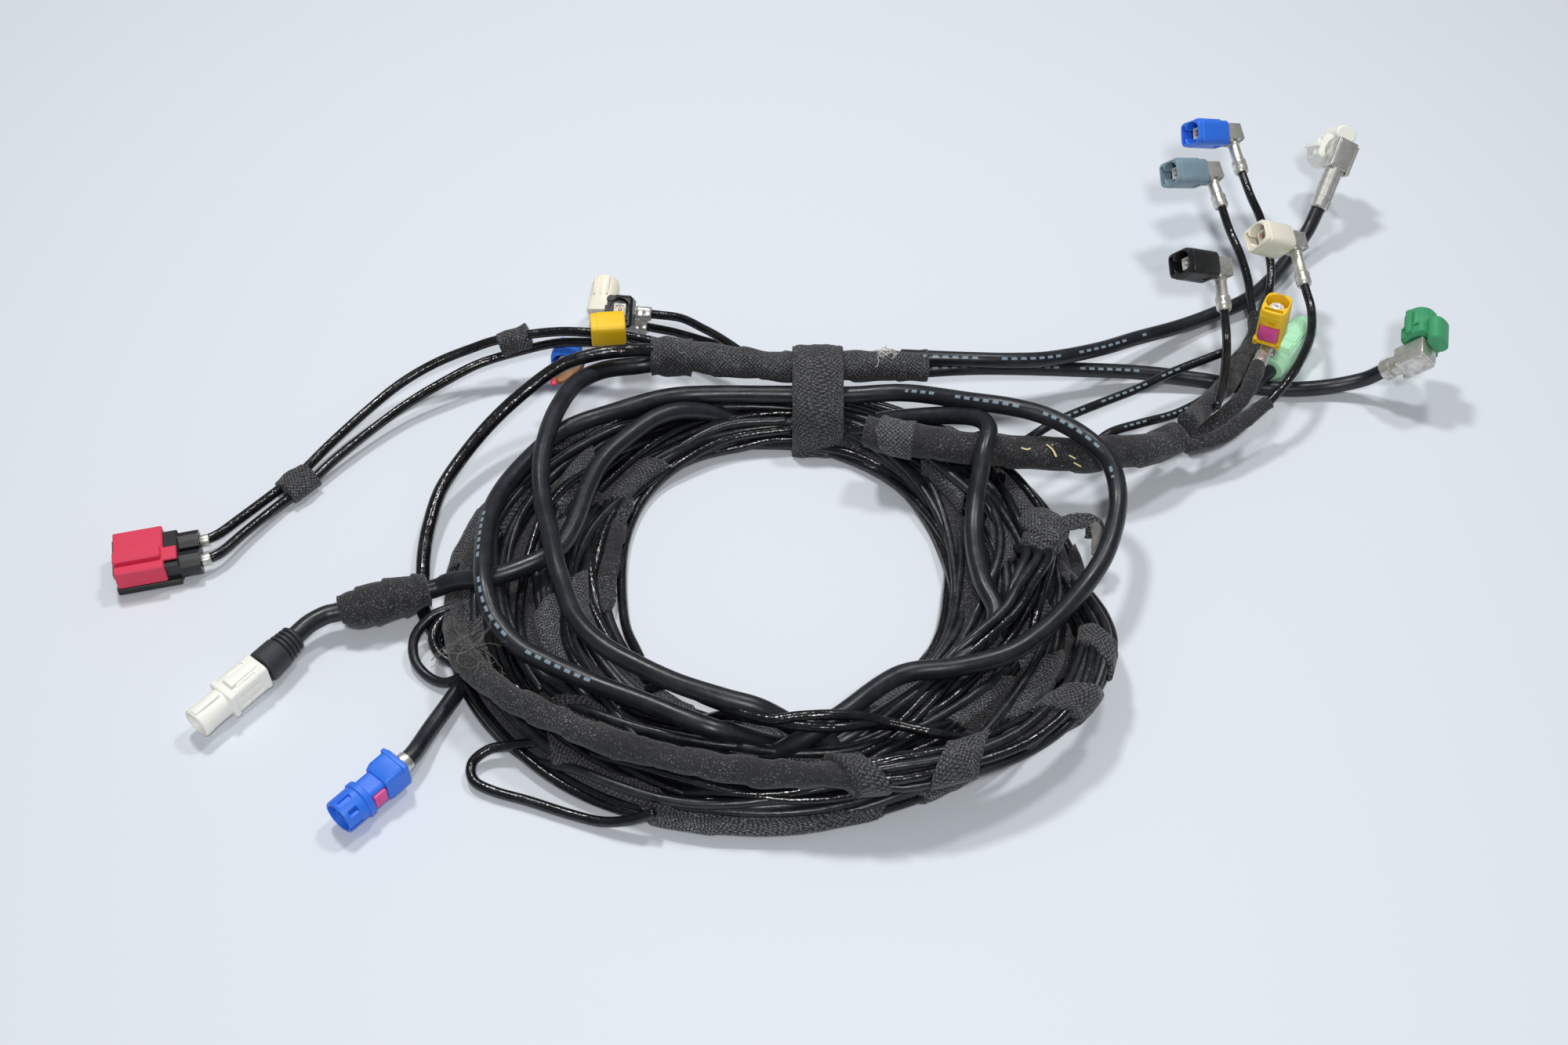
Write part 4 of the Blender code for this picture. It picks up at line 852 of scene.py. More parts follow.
def tapePatch(name, line, radius, slant, seed):
    # a short sleeve of cloth tape round a line, its ends cut on the slant, with ridges where strands are
    # under it
    rough = waves(seed, 5, 6, 26, 0.16)
    def ridges(along, angle):
        return rough(along, angle) + 0.22 * np.cos(6 * angle + along / 24 + seed)
    return tubeMesh(name, line, radius + 0.3, sides=30, shear=slant, swell=ridges)


def addJoined(name, meshes, finish, *nodes):
    return addPiece(name, joinMeshes(name, meshes), finishes[finish], *nodes)


def makeCoil():
    turn = np.linspace(0, full, 230, endpoint=False)
    meshes = {"glossJacket": [], "strandJacket": []}
    for number, (_, radius, _, _, count, twists, finish) in enumerate(coil["bundles"]):
        for line in strandLines(bundleLine(number, turn), radius, count, twists, 60 + number):
            meshes[finish].append(tubeMesh("strand", line, coil["strand"], sides=8, closed=True))
    addJoined("coil_bright_strands", meshes["glossJacket"], "glossJacket", "coil_bundle")
    addJoined("coil_dull_strands", meshes["strandJacket"], "strandJacket", "coil_bundle")
    core, half = ringSpot(turn, np.zeros_like(turn), 4.6)
    addPiece("coil_core", tubeMesh("coil_core", core, half * 0.86, 4.4, sides=24, closed=True, power=2.5),
             finishes["fleeceTape"], "coil_bundle")


def makePatches():
    meshes = {}
    for seed, (number, middle, span, slant, finish) in enumerate(coil["patches"]):
        turn = np.radians(np.linspace(middle - span, middle + span, 26))
        mesh = tapePatch("patch", bundleLine(number, turn), coil["bundles"][number][1], slant, 200 + seed)
        meshes.setdefault(finish, []).append(mesh)
    for finish, group in meshes.items():
        addJoined("coil_patches_" + finish, group, finish, "coil_bundle")


def makeStrays():
    meshes = {"glossJacket": [], "strandJacket": []}
    for seed, (first, last, near, far) in enumerate(coil["strays"]):
        share = np.linspace(0, 1, 90)
        turn = np.radians(first + (last - first) * share)
        across = near + (far - near) * (3 * share**2 - 2 * share**3) + 0.05 * np.sin(share * 9 + seed)
        rise = np.clip(np.minimum(share, 1 - share) / 0.10, 0, 1)
        lift = moundTop(turn, across) + 1.2 - 4.2 * (1 - rise * rise * (3 - 2 * rise))
        lift = np.convolve(np.pad(lift, 6, mode="edge"), np.ones(13) / 13, mode="valid")
        line = ringSpot(turn, across, lift)[0]
        finish = "glossJacket" if seed % 2 else "strandJacket"
        meshes[finish].append(tubeMesh("stray", line, 1.45, sides=10))
    for finish, group in meshes.items():
        addJoined("coil_strays_" + finish, group, finish, "coil_bundle")


makeCoil()
makePatches()
makeStrays()
print("coil strands, tape patches and strays are laid")


# tapes: cloth straps, the crossed tape and its torn end, small wraps and the fleece roll

tapes = {
    "strap": {
        # the loop round the coil, its cables and the trunk, as (y, z); it stands at x
        "x": 17.0, "width": 16.6, "thick": 1.3,
        "loop": [(61.0, 2.2), (61.2, 10.5), (63.4, 17.2), (67.6, 22.2), (74.0, 26.3), (80.5, 27.8),
                 (86.0, 25.9), (88.5, 21.0), (88.7, 12.0), (88.3, 2.6), (86.6, 0.9), (62.4, 0.9)],
    },
    # the crossed tape: corners of its pad round the middle, seen from above, and the way of its flag
    "cross": {
        "middle": (86.0, 14.0, 15.2),
        "edge": [(7.4, -1.0), (7.9, 2.6), (5.2, 6.4), (0.5, 9.6), (-4.8, 9.2), (-7.2, 5.2), (-6.4, 0.5),
                 (-7.4, -4.2), (-3.6, -8.4), (1.4, -9.0), (4.6, -6.8), (5.6, -3.8)],
        "flag": [(5.0, 1.2, 0.6), (9.0, 1.8, 1.5), (12.2, 2.2, 1.9), (14.6, 1.2, 1.6), (15.4, -0.8, -0.2),
                 (15.3, -2.2, -2.0)],
    },
}


def loopBand(name, middle, thick, width, wrinkle, seed, closed=True, sides=28):
    # A band carried round a closed line in the YZ plane: its section is a flat superellipse, width across and
    # thick through, whose skin has low wrinkles that run round with the band.
    line = smoothLine(np.vstack([middle, middle[:1]]) if closed else middle, 0.8)
    line = line[:-1] if closed else line
    rough = waves(seed, 6, 9, 40)
    def folds(along, angle):
        flank = np.abs(np.sin(angle))
        ridges = np.sin(np.cos(angle) * 9.0 + 0.9 * np.sin(along / 11.0 + seed)) * flank**0.5
        return wrinkle * (0.55 * ridges + 0.6 * rough(along, angle) * flank)
    return tubeMesh(name, line, width / 2, thick / 2, sides, closed, folds, side=(1.0, 0.0, 0.0), power=3.2)


def clothSheet(name, corners, rise, thick, seed, rows=26, turns=72):
    # A lumpy closed pad: rings shrink from the edge to its middle. Height: rise * sqrt(1 - r^2) * (1 + lumps)
    # and, on the under side, a shallower copy.
    ring = smoothLine(np.vstack([corners, corners[:1]]), 0.5)[:-1]
    ring = ring[np.linspace(0, len(ring), turns, endpoint=False).astype(int)]
    r = np.sin(np.linspace(0.02, math.pi / 2, rows))
    x, y = r[:, None] * ring[None, :, 0], r[:, None] * ring[None, :, 1]
    rough = waves(seed, 7, 5, 17)
    second = waves(seed + 1, 7, 5, 15)
    bulge = np.sqrt(np.maximum(1 - r**2, 0))[:, None]
    edge = 0.25 * rough(x * 3 + y, 0.0) * r[:, None] ** 3
    top = rise * bulge * (1 + 0.22 * rough(x + 2, 0.0) + 0.22 * second(y - 3, 0.0)) + thick / 2 + edge
    low = -0.5 * rise * bulge - thick / 2 + edge
    upper = np.stack([x, y, top], axis=2).reshape(-1, 3)
    lower = np.stack([x, y, low], axis=2).reshape(-1, 3)
    points = np.vstack([upper, lower])
    above = gridQuads(rows, turns)[:, [0, 3, 2, 1]]
    below = above[:, ::-1] + rows * turns
    k, k2 = np.arange(turns), (np.arange(turns) + 1) % turns
    rim = np.stack([(rows - 1) * turns + k, (2 * rows - 1) * turns + k, (2 * rows - 1) * turns + k2,
                    (rows - 1) * turns + k2], axis=1)
    poles = np.array([[0, 0, upper[:turns, 2].mean() + 0.01], [0, 0, lower[:turns, 2].mean() - 0.01]])
    caps = [np.stack([np.full(turns, len(points)), k, k2], axis=1),
            np.stack([np.full(turns, len(points) + 1), k2 + rows * turns, k + rows * turns], axis=1)]
    points = np.vstack([points, poles])
    groups = [above, below, rim] + caps
    return meshFrom(name, points, groups, [points[g][..., :2] for g in groups])


def ribbon(name, line, width, thick, seed, wrinkle, ragged=0.0):
    # a flat strip of tape along a line, its far end torn to a ragged taper
    line = smoothLine(line, 0.5)
    share = np.linspace(0, 1, len(line))
    narrow = 1 - ragged * np.clip((share - 0.72) / 0.28, 0, 1) ** 1.5 + 0.05 * np.sin(share * 41 + seed)
    return tubeMesh(name, line, width / 2 * narrow, thick / 2, sides=20, power=3.0,
                    swell=waves(seed, 6, 4, 16, wrinkle))


def makeStrap():
    band = tapes["strap"]
    middle = np.array([(band["x"], y, z) for y, z in band["loop"]])
    addPiece("coil_strap_cloth", loopBand("coil_strap_cloth", middle, band["thick"], band["width"], 0.34, 3),
             finishes["clothTape"], "coil_strap")
    # one more lap over the top of the loop, a little outside it
    fold = middle + [1.5, 0, 0]
    fold[:, 1:] += (fold[:, 1:] - [73, 13]) * 0.022
    lap = loopBand("coil_strap_lap", fold[:9], 0.8, 8.5, 0.2, 8, closed=False)
    addPiece("coil_strap_lap", lap, finishes["clothTape"], "coil_strap")


def makeSecondBand():
    # the narrow wrap with shiny pale edges at the sleeve's left end
    middle = [(36.5, 52.3, 19.6), (41.5, 50.4, 19.8), (47, 49.2, 19.8)]
    rough = waves(91, 6, 6, 20, 0.25)
    def swell(along, angle):
        return rough(along, angle) + 0.4 * np.exp(-((along - 5.0) / 1.2) ** 2)
    mesh = tubeMesh("sleeve_end_wrap", smoothLine(middle, 0.6), 6.1, sides=36, swell=swell)
    addPiece("sleeve_end_wrap", mesh, finishes["paleClothTape"])


def makeCrossTape():
    spot = np.array(tapes["cross"]["middle"])
    corners = np.array([(x, y, 0.0) for x, y in tapes["cross"]["edge"]])
    pad = clothSheet("cross_tape_pad", corners, 3.4, 1.0, 21)
    pad.transform(Matrix.Translation(Vector(spot) * mm))
    over = clothSheet("cross_tape_lap", corners * [0.72, 0.78, 1] + [-0.9, 0.8, 0], 2.2, 0.8, 31)
    over.transform(Matrix.Translation(Vector(spot + [0.4, -0.6, 2.0]) * mm) @ Matrix.Rotation(0.5, 4, "Z"))
    flag = ribbon("cross_tape_flag", spot + np.array(tapes["cross"]["flag"]) + [0, 0.8, 0.8], 6.2, 0.9, 17,
                  0.22)
    addJoined("cross_tape_cloth", [pad, over, flag], "clothTape", "cross_tape")
    tip = spot + np.array([(13.4, 2.2, 2.6), (15.2, 1.4, 2.0), (16.1, -1.6, 0.2), (15.4, -4.6, -1.6),
                           (14.2, -6.6, -2.6)])
    addPiece("cross_tape_torn_tip", ribbon("cross_tape_torn_tip", tip, 3.4, 0.5, 19, 0.12, ragged=0.8),
             finishes["tornFilm"], "cross_tape")


def makeLeadTape():
    # cloth wound round the two glossy leads where they lie side by side, with one loose fibre end
    line = smoothLine([(-147.4, 49.6, 4.0), (-150.6, 45.6, 3.9), (-153.9, 41.8, 3.8)], 0.5)
    rough = waves(77, 6, 5, 18, 0.28)
    def swell(along, angle):
        return rough(along, angle) - 0.18 * (((along / 5.2 + angle / full) % 1.0) < 0.12)
    addPiece("lead_tape_cloth", tubeMesh("lead_tape_cloth", line, 5.4, 3.3, sides=32, swell=swell),
             finishes["clothTape"], "lead_tape")
    fibre = [(-149.5, 47.4, 6.4), (-147.6, 50.2, 8.0), (-146.8, 52.8, 7.4), (-147.2, 54.6, 6.0)]
    addPiece("lead_tape_fibre", tubeMesh("lead_tape_fibre", smoothLine(fibre, 0.4), 0.3, sides=8),
             finishes["clothTape"],
             "lead_tape")


def makeSmallWraps():
    # the far wrap on the twin leads and the tape sleeve at the trunk's left end
    for name, points, wide, thick, seed in (
        ("far_wrap", [(-79.6, 100.2, 17.6), (-84.5, 99.6, 16.4), (-89.2, 98.2, 15.4)], 3.9, 4.4, 51),
        ("trunk_end_wrap", [(-37.5, 86.4, 21.2), (-31, 86.4, 21.2), (-24.5, 86, 21.2)], 6.2, 6.6, 53),
    ):
        mesh = tubeMesh(name, smoothLine(points, 0.6), wide, thick, sides=32,
                        swell=waves(seed, 6, 5, 20, 0.4))
        addPiece(name, mesh, finishes["clothTape"])


def makeRoll():
    # fleece rolled round the cable in three stepped turns, each a little wider and shifted, the last end
    # loose
    a, b = np.array(routes["white_plug_lead"][0]), np.array(routes["white_plug_cable"][-1])
    line = smoothLine([a + (b - a) * s for s in (0.015, 0.25, 0.5, 0.75, 0.985)], 0.5)
    length = lineLength(line)
    rough, coarse = waves(61, 7, 6, 22, 0.35), waves(62, 5, 12, 30, 0.25)
    along = np.linspace(0, length, len(line))
    ends = 1 - 0.26 * np.exp(-(along / 2.6) ** 2) - 0.16 * np.exp(-((length - along) / 3.2) ** 2)
    def turns(s, angle):
        lap = (s / (length / 3.1) + angle / full) % 1.0
        step = 0.9 * (np.minimum(lap / 0.05, 1.0) * (1 - lap) - 0.5)
        return step + rough(s, angle) + coarse(s, angle)
    mesh = tubeMesh("fleece_roll_cloth", line, 6.2 * ends, sides=40, swell=turns)
    addPiece("fleece_roll_cloth", mesh, finishes["fleeceTape"], "fleece_roll")


makeStrap()
makeSecondBand()
makeCrossTape()
makeLeadTape()
makeSmallWraps()
makeRoll()
print("tapes, wraps and the roll are made")


# thin strands that leave the tape and cross the coil, low loops at its left and thin cables inside it

looseStrands = {
    # name: diameter, finish, points
    "over_strand_1": (3.0, "glossJacket", [
        (-33, -41, 9), (-25.2, -46.5, 18), (-15, -55, 21.5), (0.6, -63.5, 24.8), (9.9, -63.6, 26.2),
        (19, -63.2, 26.4), (27.8, -62, 24), (34.6, -62.3, 21.5), (49.2, -64.4, 19), (60.7, -62.7, 14),
        (70, -57, 8.5),
    ]),
    "over_strand_2": (3.0, "glossJacket", [
        (-17, -52, 9), (-9.4, -57.6, 18.5), (6, -64.5, 23.8), (19, -66.5, 24.8), (29.9, -63.4, 22),
        (40, -58.2, 14), (47, -54.5, 8.5),
    ]),
    "tape_strand_1": (3.1, "strandJacket", [
        (80.5, 9, 14), (82.3, 0.5, 19.5), (75.5, -11.7, 21), (70.8, -20.4, 20.5), (62.1, -28.8, 18.8),
        (54.4, -34.4, 15.6), (44.2, -46.9, 15.2), (34.4, -54.8, 14), (24, -61.8, 9),
    ]),
    "tape_strand_2": (3.1, "glossJacket", [
        (85.5, 8, 14), (85.7, 0.8, 19), (79.5, -10.6, 19.5), (74.3, -20.5, 19.5), (65.8, -28.8, 17.6),
        (57.8, -35.4, 15.4), (48.3, -46.3, 15), (38, -56.6, 12), (30, -60, 8),
    ]),
    "tape_strand_3": (3.1, "strandJacket", [
        (77.5, 9.5, 13), (79, 2.1, 19), (74.6, -9.4, 19.4), (71.2, -17.8, 17), (66, -26, 12.5), (58, -33, 8),
    ]),
    "low_loop_1": (3.0, "glossJacket", [
        (-56, -58.5, 6), (-64.5, -58.6, 6.6), (-72.6, -58.4, 5), (-78.8, -59.2, 4), (-83, -63.2, 3),
        (-82, -68.6, 2.4), (-76, -72, 2), (-66, -75.2, 1.9), (-54.6, -79.4, 1.9), (-45.1, -82.5, 2.6),
        (-37.1, -83.7, 5), (-30.4, -83.4, 8),
    ]),
    "low_loop_2": (3.0, "strandJacket", [
        (-93.5, -10, 8.5), (-100, -12.8, 7.6), (-104.6, -18.6, 5.2), (-104.2, -25.4, 3), (-99.8, -31, 2),
        (-94.2, -34, 2.6), (-88.4, -33.4, 5),
    ]),
    "low_loop_3": (3.0, "glossJacket", [
        (-87.5, -10, 8.5), (-94.5, -14, 10), (-98.2, -21, 9.5), (-95.6, -28.4, 9), (-88, -33.2, 8.5),
        (-79, -35.6, 7),
    ]),
    "inner_strand_1": (3.2, "strandJacket", [
        (6, 68, 10), (-13.2, 65.6, 10), (-29.9, 56.8, 7), (-40.3, 47.7, 4.5), (-47, 34.5, 2.6),
        (-49.5, 18.9, 2.0), (-48.6, -3.6, 2.2), (-42.2, -22.1, 3.5), (-34, -36, 7),
    ]),
    "inner_strand_2": (3.0, "glossJacket", [
        (8.6, 66, 8), (-11.9, 62.5, 7), (-26.6, 54.2, 5), (-36.1, 45.2, 2.6), (-42, 32.1, 1.9),
        (-44.4, 14.4, 1.8), (-42.5, -9.4, 2), (-37, -26, 5),
    ]),
}


def makeTrunkStrands():
    # the right half of the front trunk: coax strands laid over its fleece, tied by cloth patches with bare
    # gaps
    route = smoothLine(routes["fleece_trunk"] + trunkEnd, 1.6)
    line = route[int(0.46 * len(route)) :]
    share = np.linspace(0, 1, len(line))
    rise = np.minimum(np.minimum(share, 1 - share) / 0.12, 1.0)
    across, upper = ringFrames(line)[1:]
    for name, finish, seeds in (("trunk_strands_bright", "glossJacket", (0, 2, 5)),
                                ("trunk_strands_dull", "strandJacket", (1, 3, 4, 6))):
        meshes = []
        for strand in seeds:
            angle = full * strand / 7 + 2.4 * share + 0.25 * np.sin(share * 11 + strand)
            away = 1.5 + 2.9 * rise
            spot = roundLine(line, across, upper, away, angle)
            meshes.append(tubeMesh("strand", spot, 1.45, sides=10))
        addJoined(name, meshes, finish, "fleece_trunk")
    meshes = []
    # first and last share of the line under each patch, and its slant
    patches = ((0.0, 0.07, 5), (0.20, 0.31, -5), (0.47, 0.56, 5), (0.66, 0.73, -4))
    for seed, (first, last, slant) in enumerate(patches):
        part = line[int(first * len(line)) : int(last * len(line))]
        meshes.append(tapePatch("patch", part, 5.9, slant, 300 + seed))
    addJoined("trunk_patches", meshes, "clothTape", "fleece_trunk")


def makeLooseStrands():
    for name, (diameter, finish, points) in looseStrands.items():
        layCord(name, points, diameter, finish, sides=14, step=1.1, nodes=(), into=0.5)


makeTrunkStrands()
makeLooseStrands()
print("loose strands:", len(looseStrands))


# connectors: each one is built in its own frame, X out of its mouth and -Y along its cable

connectors = {
    # name: middle of the crimp corner, way of the mouth, end of the ferrule, finish of the housing
    "blue_coax": ((166.6, 189.6, 33.5), (-0.90, -0.29, 0.32), (169.9, 174.9, 27), "blueMoulding"),
    "grey_coax": ((157.1, 171.3, 30.5), (-0.90, -0.32, 0.29), (160.5, 158, 25), "greyMoulding"),
    "black_coax": ((153, 120.6, 30), (-0.85, -0.32, 0.42), (154.1, 107.1, 22), "blackMoulding"),
    "cream_coax": ((181.2, 136.1, 28), (-0.85, -0.24, 0.46), (183.5, 119.8, 22), "creamMoulding"),
    "yellow_coax": ((169.2, 99.8, 15.8), (0.0, 0.06, 1.0), (163.4, 88, 15.8), "yellowMoulding"),
    "white_data": ((207.4, 187.3, 28.5), (-0.22, 0.68, -0.62), (198.5, 171, 14), "whiteMoulding"),
    "green_data": ((215.3, 86.2, 22.5), (0.3, 0.94, 0.16), (205.5, 89, 12), "greenMoulding"),
    "torn_black": ((-48.7, 113.6, 16.5), (0.01, -0.7, 0.72), (-38.5, 113, 16), "blackMoulding"),
    "cream_back": ((-57.2, 115.6, 8.2), (-0.40, 0.88, 0.26), (-40, 113, 10), "creamMoulding"),
}


def frameAt(at, xWay, yWay):
    # X along xWay, Y as near as it can be to yWay, in metres from millimetres
    x = Vector(xWay).normalized()
    z = x.cross(Vector(yWay)).normalized()
    return Matrix.Translation(Vector(at) * mm) @ Matrix((x, z.cross(x), z)).transposed().to_4x4()


def alongX(start, end):
    # X from the start towards the end, in metres from millimetres
    return Matrix.Translation(start * mm) @ (end - start).to_track_quat("X", "Z").to_matrix().to_4x4()


def connectorFrame(name):
    # the frame of a named connector, and how far its cable's end is from the crimp corner
    at, mouth, cableEnd = (Vector(v) for v in connectors[name][:3])
    away = cableEnd - at
    mouth = (mouth - mouth.project(away)).normalized()
    return frameAt(at, mouth, -away), away.length


def loft(stations, sides=56, flutes=None):
    # Rings along X, one for each (x, middle y, middle z, half y, half z, power): a superellipse whose
    # distance at an angle is (|cos|^power + |sin|^power)^(-1 / power). flutes(x, angle) is added outwards.
    # Poles close both ends.
    angle = np.linspace(0, full, sides, endpoint=False)
    rings = []
    for x, y, z, wide, high, power in stations:
        reach = (np.abs(np.cos(angle)) ** power + np.abs(np.sin(angle)) ** power) ** (-1 / power)
        more = flutes(x, angle) if flutes else 0.0
        rings.append(np.stack([np.full(sides, x), y + (wide * reach + more) * np.cos(angle),
                               z + (high * reach + more) * np.sin(angle)], axis=1))
    points = np.concatenate(rings + [[stations[0][:3]], [stations[-1][:3]]])
    return sharpen(meshFrom("loft", points, [gridQuads(len(rings), sides)] + poleCaps(len(rings), sides)))


def turned(spots, sides=56, flutes=None, power=2):
    # a loft round the axis, with a ring for each (x, radius) or (x, radius, power)
    return loft([(x, 0, 0, r, r, *(own or [power])) for x, r, *own in spots], sides, flutes)


def sharpen(mesh, degrees=32.0):
    # smooth shading, but with an edge wherever two faces meet more sharply than this
    bm = bmesh.new()
    bm.from_mesh(mesh)
    for edge in bm.edges:
        edge.smooth = len(edge.link_faces) == 2 and edge.calc_face_angle(0.0) < math.radians(degrees)
    for face in bm.faces:
        face.smooth = True
    bm.to_mesh(mesh)
    bm.free()
    return mesh


def block(low, high, bevel=0.3):
    # a box between two corners with rounded edges
    bm = bmesh.new()
    middle = [(a + b) / 2 * mm for a, b in zip(low, high)]
    size = [(b - a) * mm for a, b in zip(low, high)]
    bmesh.ops.create_cube(bm, size=1.0, matrix=Matrix.Translation(middle) @ Matrix.Diagonal((*size, 1)))
    if bevel:
        bmesh.ops.bevel(bm, geom=list(bm.edges), offset=bevel * mm, segments=3, profile=0.5, affect="EDGES")
    mesh = bpy.data.meshes.new("block")
    bm.to_mesh(mesh)
    bm.free()
    return sharpen(mesh)


def rod(start, end, radius, endRadius=None, sides=32, edge=0.2):
    # a round bar between two points, its rims rounded over
    start, end = Vector(start), Vector(end)
    endRadius = radius if endRadius is None else endRadius
    long = (end - start).length
    soft = edge * 0.3
    mesh = turned([(0, radius - edge), (soft, radius - soft), (edge, radius), (long - edge, endRadius),
                   (long - soft, endRadius - soft), (long, endRadius - edge)], sides)
    mesh.transform(alongX(start, end))
    return mesh


def carve(mesh, cutters):
    # the cutters taken out of the mesh, one after another
    scene = bpy.context.scene
    body = bpy.data.objects.new("body", mesh)
    scene.collection.objects.link(body)
    tools = []
    for cutter in cutters:
        tool = bpy.data.objects.new("tool", cutter)
        scene.collection.objects.link(tool)
        tools.append(tool)
        step = body.modifiers.new("cut", "BOOLEAN")
        step.operation = "DIFFERENCE"
        step.solver = "MANIFOLD"
        step.object = tool
    bpy.context.view_layer.update()
    made = bpy.data.meshes.new_from_object(body.evaluated_get(bpy.context.evaluated_depsgraph_get()))
    for item in [body] + tools:
        bpy.data.objects.remove(item)
    return sharpen(made)


def place(name, meshes, turn, finish, *nodes):
    # meshes made in a connector's own frame, joined and carried to its place
    mesh = joinMeshes(name, meshes)
    mesh.transform(turn)
    addPiece(name, mesh, finishes[finish], *nodes)


def keyedShell(rear, front, y, z, halfY, halfZ, power=5.5):
    # the outer skin, the rim rolled over, and the round mouth down to its floor, as one profile
    mouth, deep = 3.75, 8.5
    # place along X, and how far the skin is drawn in there
    skin = [(rear, 0.8), (rear + 0.25, 0.3), (rear + 0.8, 0), (front - 2.2, 0), (front - 2.0, 0.15),
            (front - 0.5, 0.15), (front - 0.12, 0.35), (front, 0.75)]
    return loft([(x, y, z, halfY - drawn, halfZ - drawn, power) for x, drawn in skin]
                + [(front - 0.05, 0, 0, mouth + 0.25, mouth + 0.25, 2), (front - 0.35, 0, 0, mouth, mouth, 2),
                   (front - deep, 0, 0, mouth, mouth, 2)], 64)


def centreContact(front):
    # the tinned square sleeve inside a mouth, deep mm below its rim, with its copper pin
    deep = 2.4
    hollow = block((front - deep - 2.2, -1.3, -1.3), (front, 1.3, 1.3), 0)
    sleeve = carve(block((3.0, -2.1, -2.1), (front - deep, 2.1, 2.1), 0.25), [hollow])
    pin = rod((4.0, 0, 0), (front - deep + 0.3, 0, 0), 0.75, 0.5, 20, 0.15)
    return sleeve, pin


def coaxHousing(front=17.5):
    shell = keyedShell(3.5, front, 0, 0.85, 4.5, 5.35)
    slot = block((front - 6.0, -3.1, 3.5), (front + 1, 3.1, 5.0), 0)
    recess = block((5.6, -5.5, -1.6), (7.4, -4.15, 1.6), 0.1)
    body = carve(shell, [slot, recess])
    rail = block((5.0, 4.1, -1.2), (front - 2.5, 5.2, 1.2), 0.25)
    return [body, rail]


def ferrule(length, radius=2.1):
    # the tinned sleeve down to the cable: a seam groove along it, a waist, the pressed crimp and a flared lip
    end = length - 0.6
    def seam(x, angle):
        return -0.32 * np.exp(-(np.sin((angle - 1.2) / 2) / 0.09) ** 2) + 0.05 * np.sin(x * 2.6 + 3 * angle)
    spots = [(2.4, radius - 0.2, 2), (2.7, radius + 0.1, 2), (4.4, radius + 0.1, 2), (4.6, radius - 0.12, 2),
             (end - 5.4, radius - 0.05, 2), (end - 5.0, radius + 0.22, 2.4), (end - 4.0, radius + 0.3, 2.9),
             (end - 2.9, radius + 0.1, 2.9), (end - 2.5, radius + 0.32, 2.6), (end - 1.2, radius + 0.34, 2.3),
             (end - 0.3, radius + 0.3, 2), (end, radius + 0.05, 2)]
    mesh = turned(spots, 48, seam)
    notch = carve(mesh, [block((end - 4.6, 0.4, radius - 0.5), (end - 3.9, 1.5, radius + 1.5), 0.05)])
    notch.transform(Matrix.Rotation(-math.pi / 2, 4, "Z"))
    return notch


def coaxTerminal(length):
    # the folded sheet corner: a low box, a thin cheek on each side of it and a sloped back plate
    corner = block((-2.9, -3.0, -3.0), (3.3, 2.9, 3.0), 0.5)
    cheeks = [block((-3.2, -3.2, side - 0.25), (3.3, 3.0, side + 0.25), 0.12) for side in (-3.0, 3.0)]
    back = block((-3.3, -3.3, -2.7), (-2.8, 3.2, 2.7), 0.15)
    return [corner, back, *cheeks, ferrule(length)]


shellRoll = {"blue_coax": 20, "grey_coax": 18}  # degrees that a housing sits turned on its barrel


def makeCoax():
    for name in ("blue_coax", "grey_coax", "black_coax", "cream_coax", "torn_black", "cream_back"):
        turn, length = connectorFrame(name)
        place(name + "_metal", coaxTerminal(length), turn, "tinnedSheet", name + "_terminal")
        back = name in ("torn_black", "cream_back")
        if not back:
            turn = turn @ Matrix.Rotation(-math.radians(shellRoll.get(name, 0)), 4, "X")
        sleeve, pin = centreContact(16.0 if back else 17.5)
        place(name + "_sleeve", [sleeve], turn, "brightContact", name + "_terminal")
        pinFinish = "brightContact" if name in ("grey_coax", "black_coax") else "copperContact"
        place(name + "_pin", [pin], turn, pinFinish, name + "_terminal")
        if not back:
            place(name + "_shell", coaxHousing(), turn, connectors[name][3], name + "_housing")


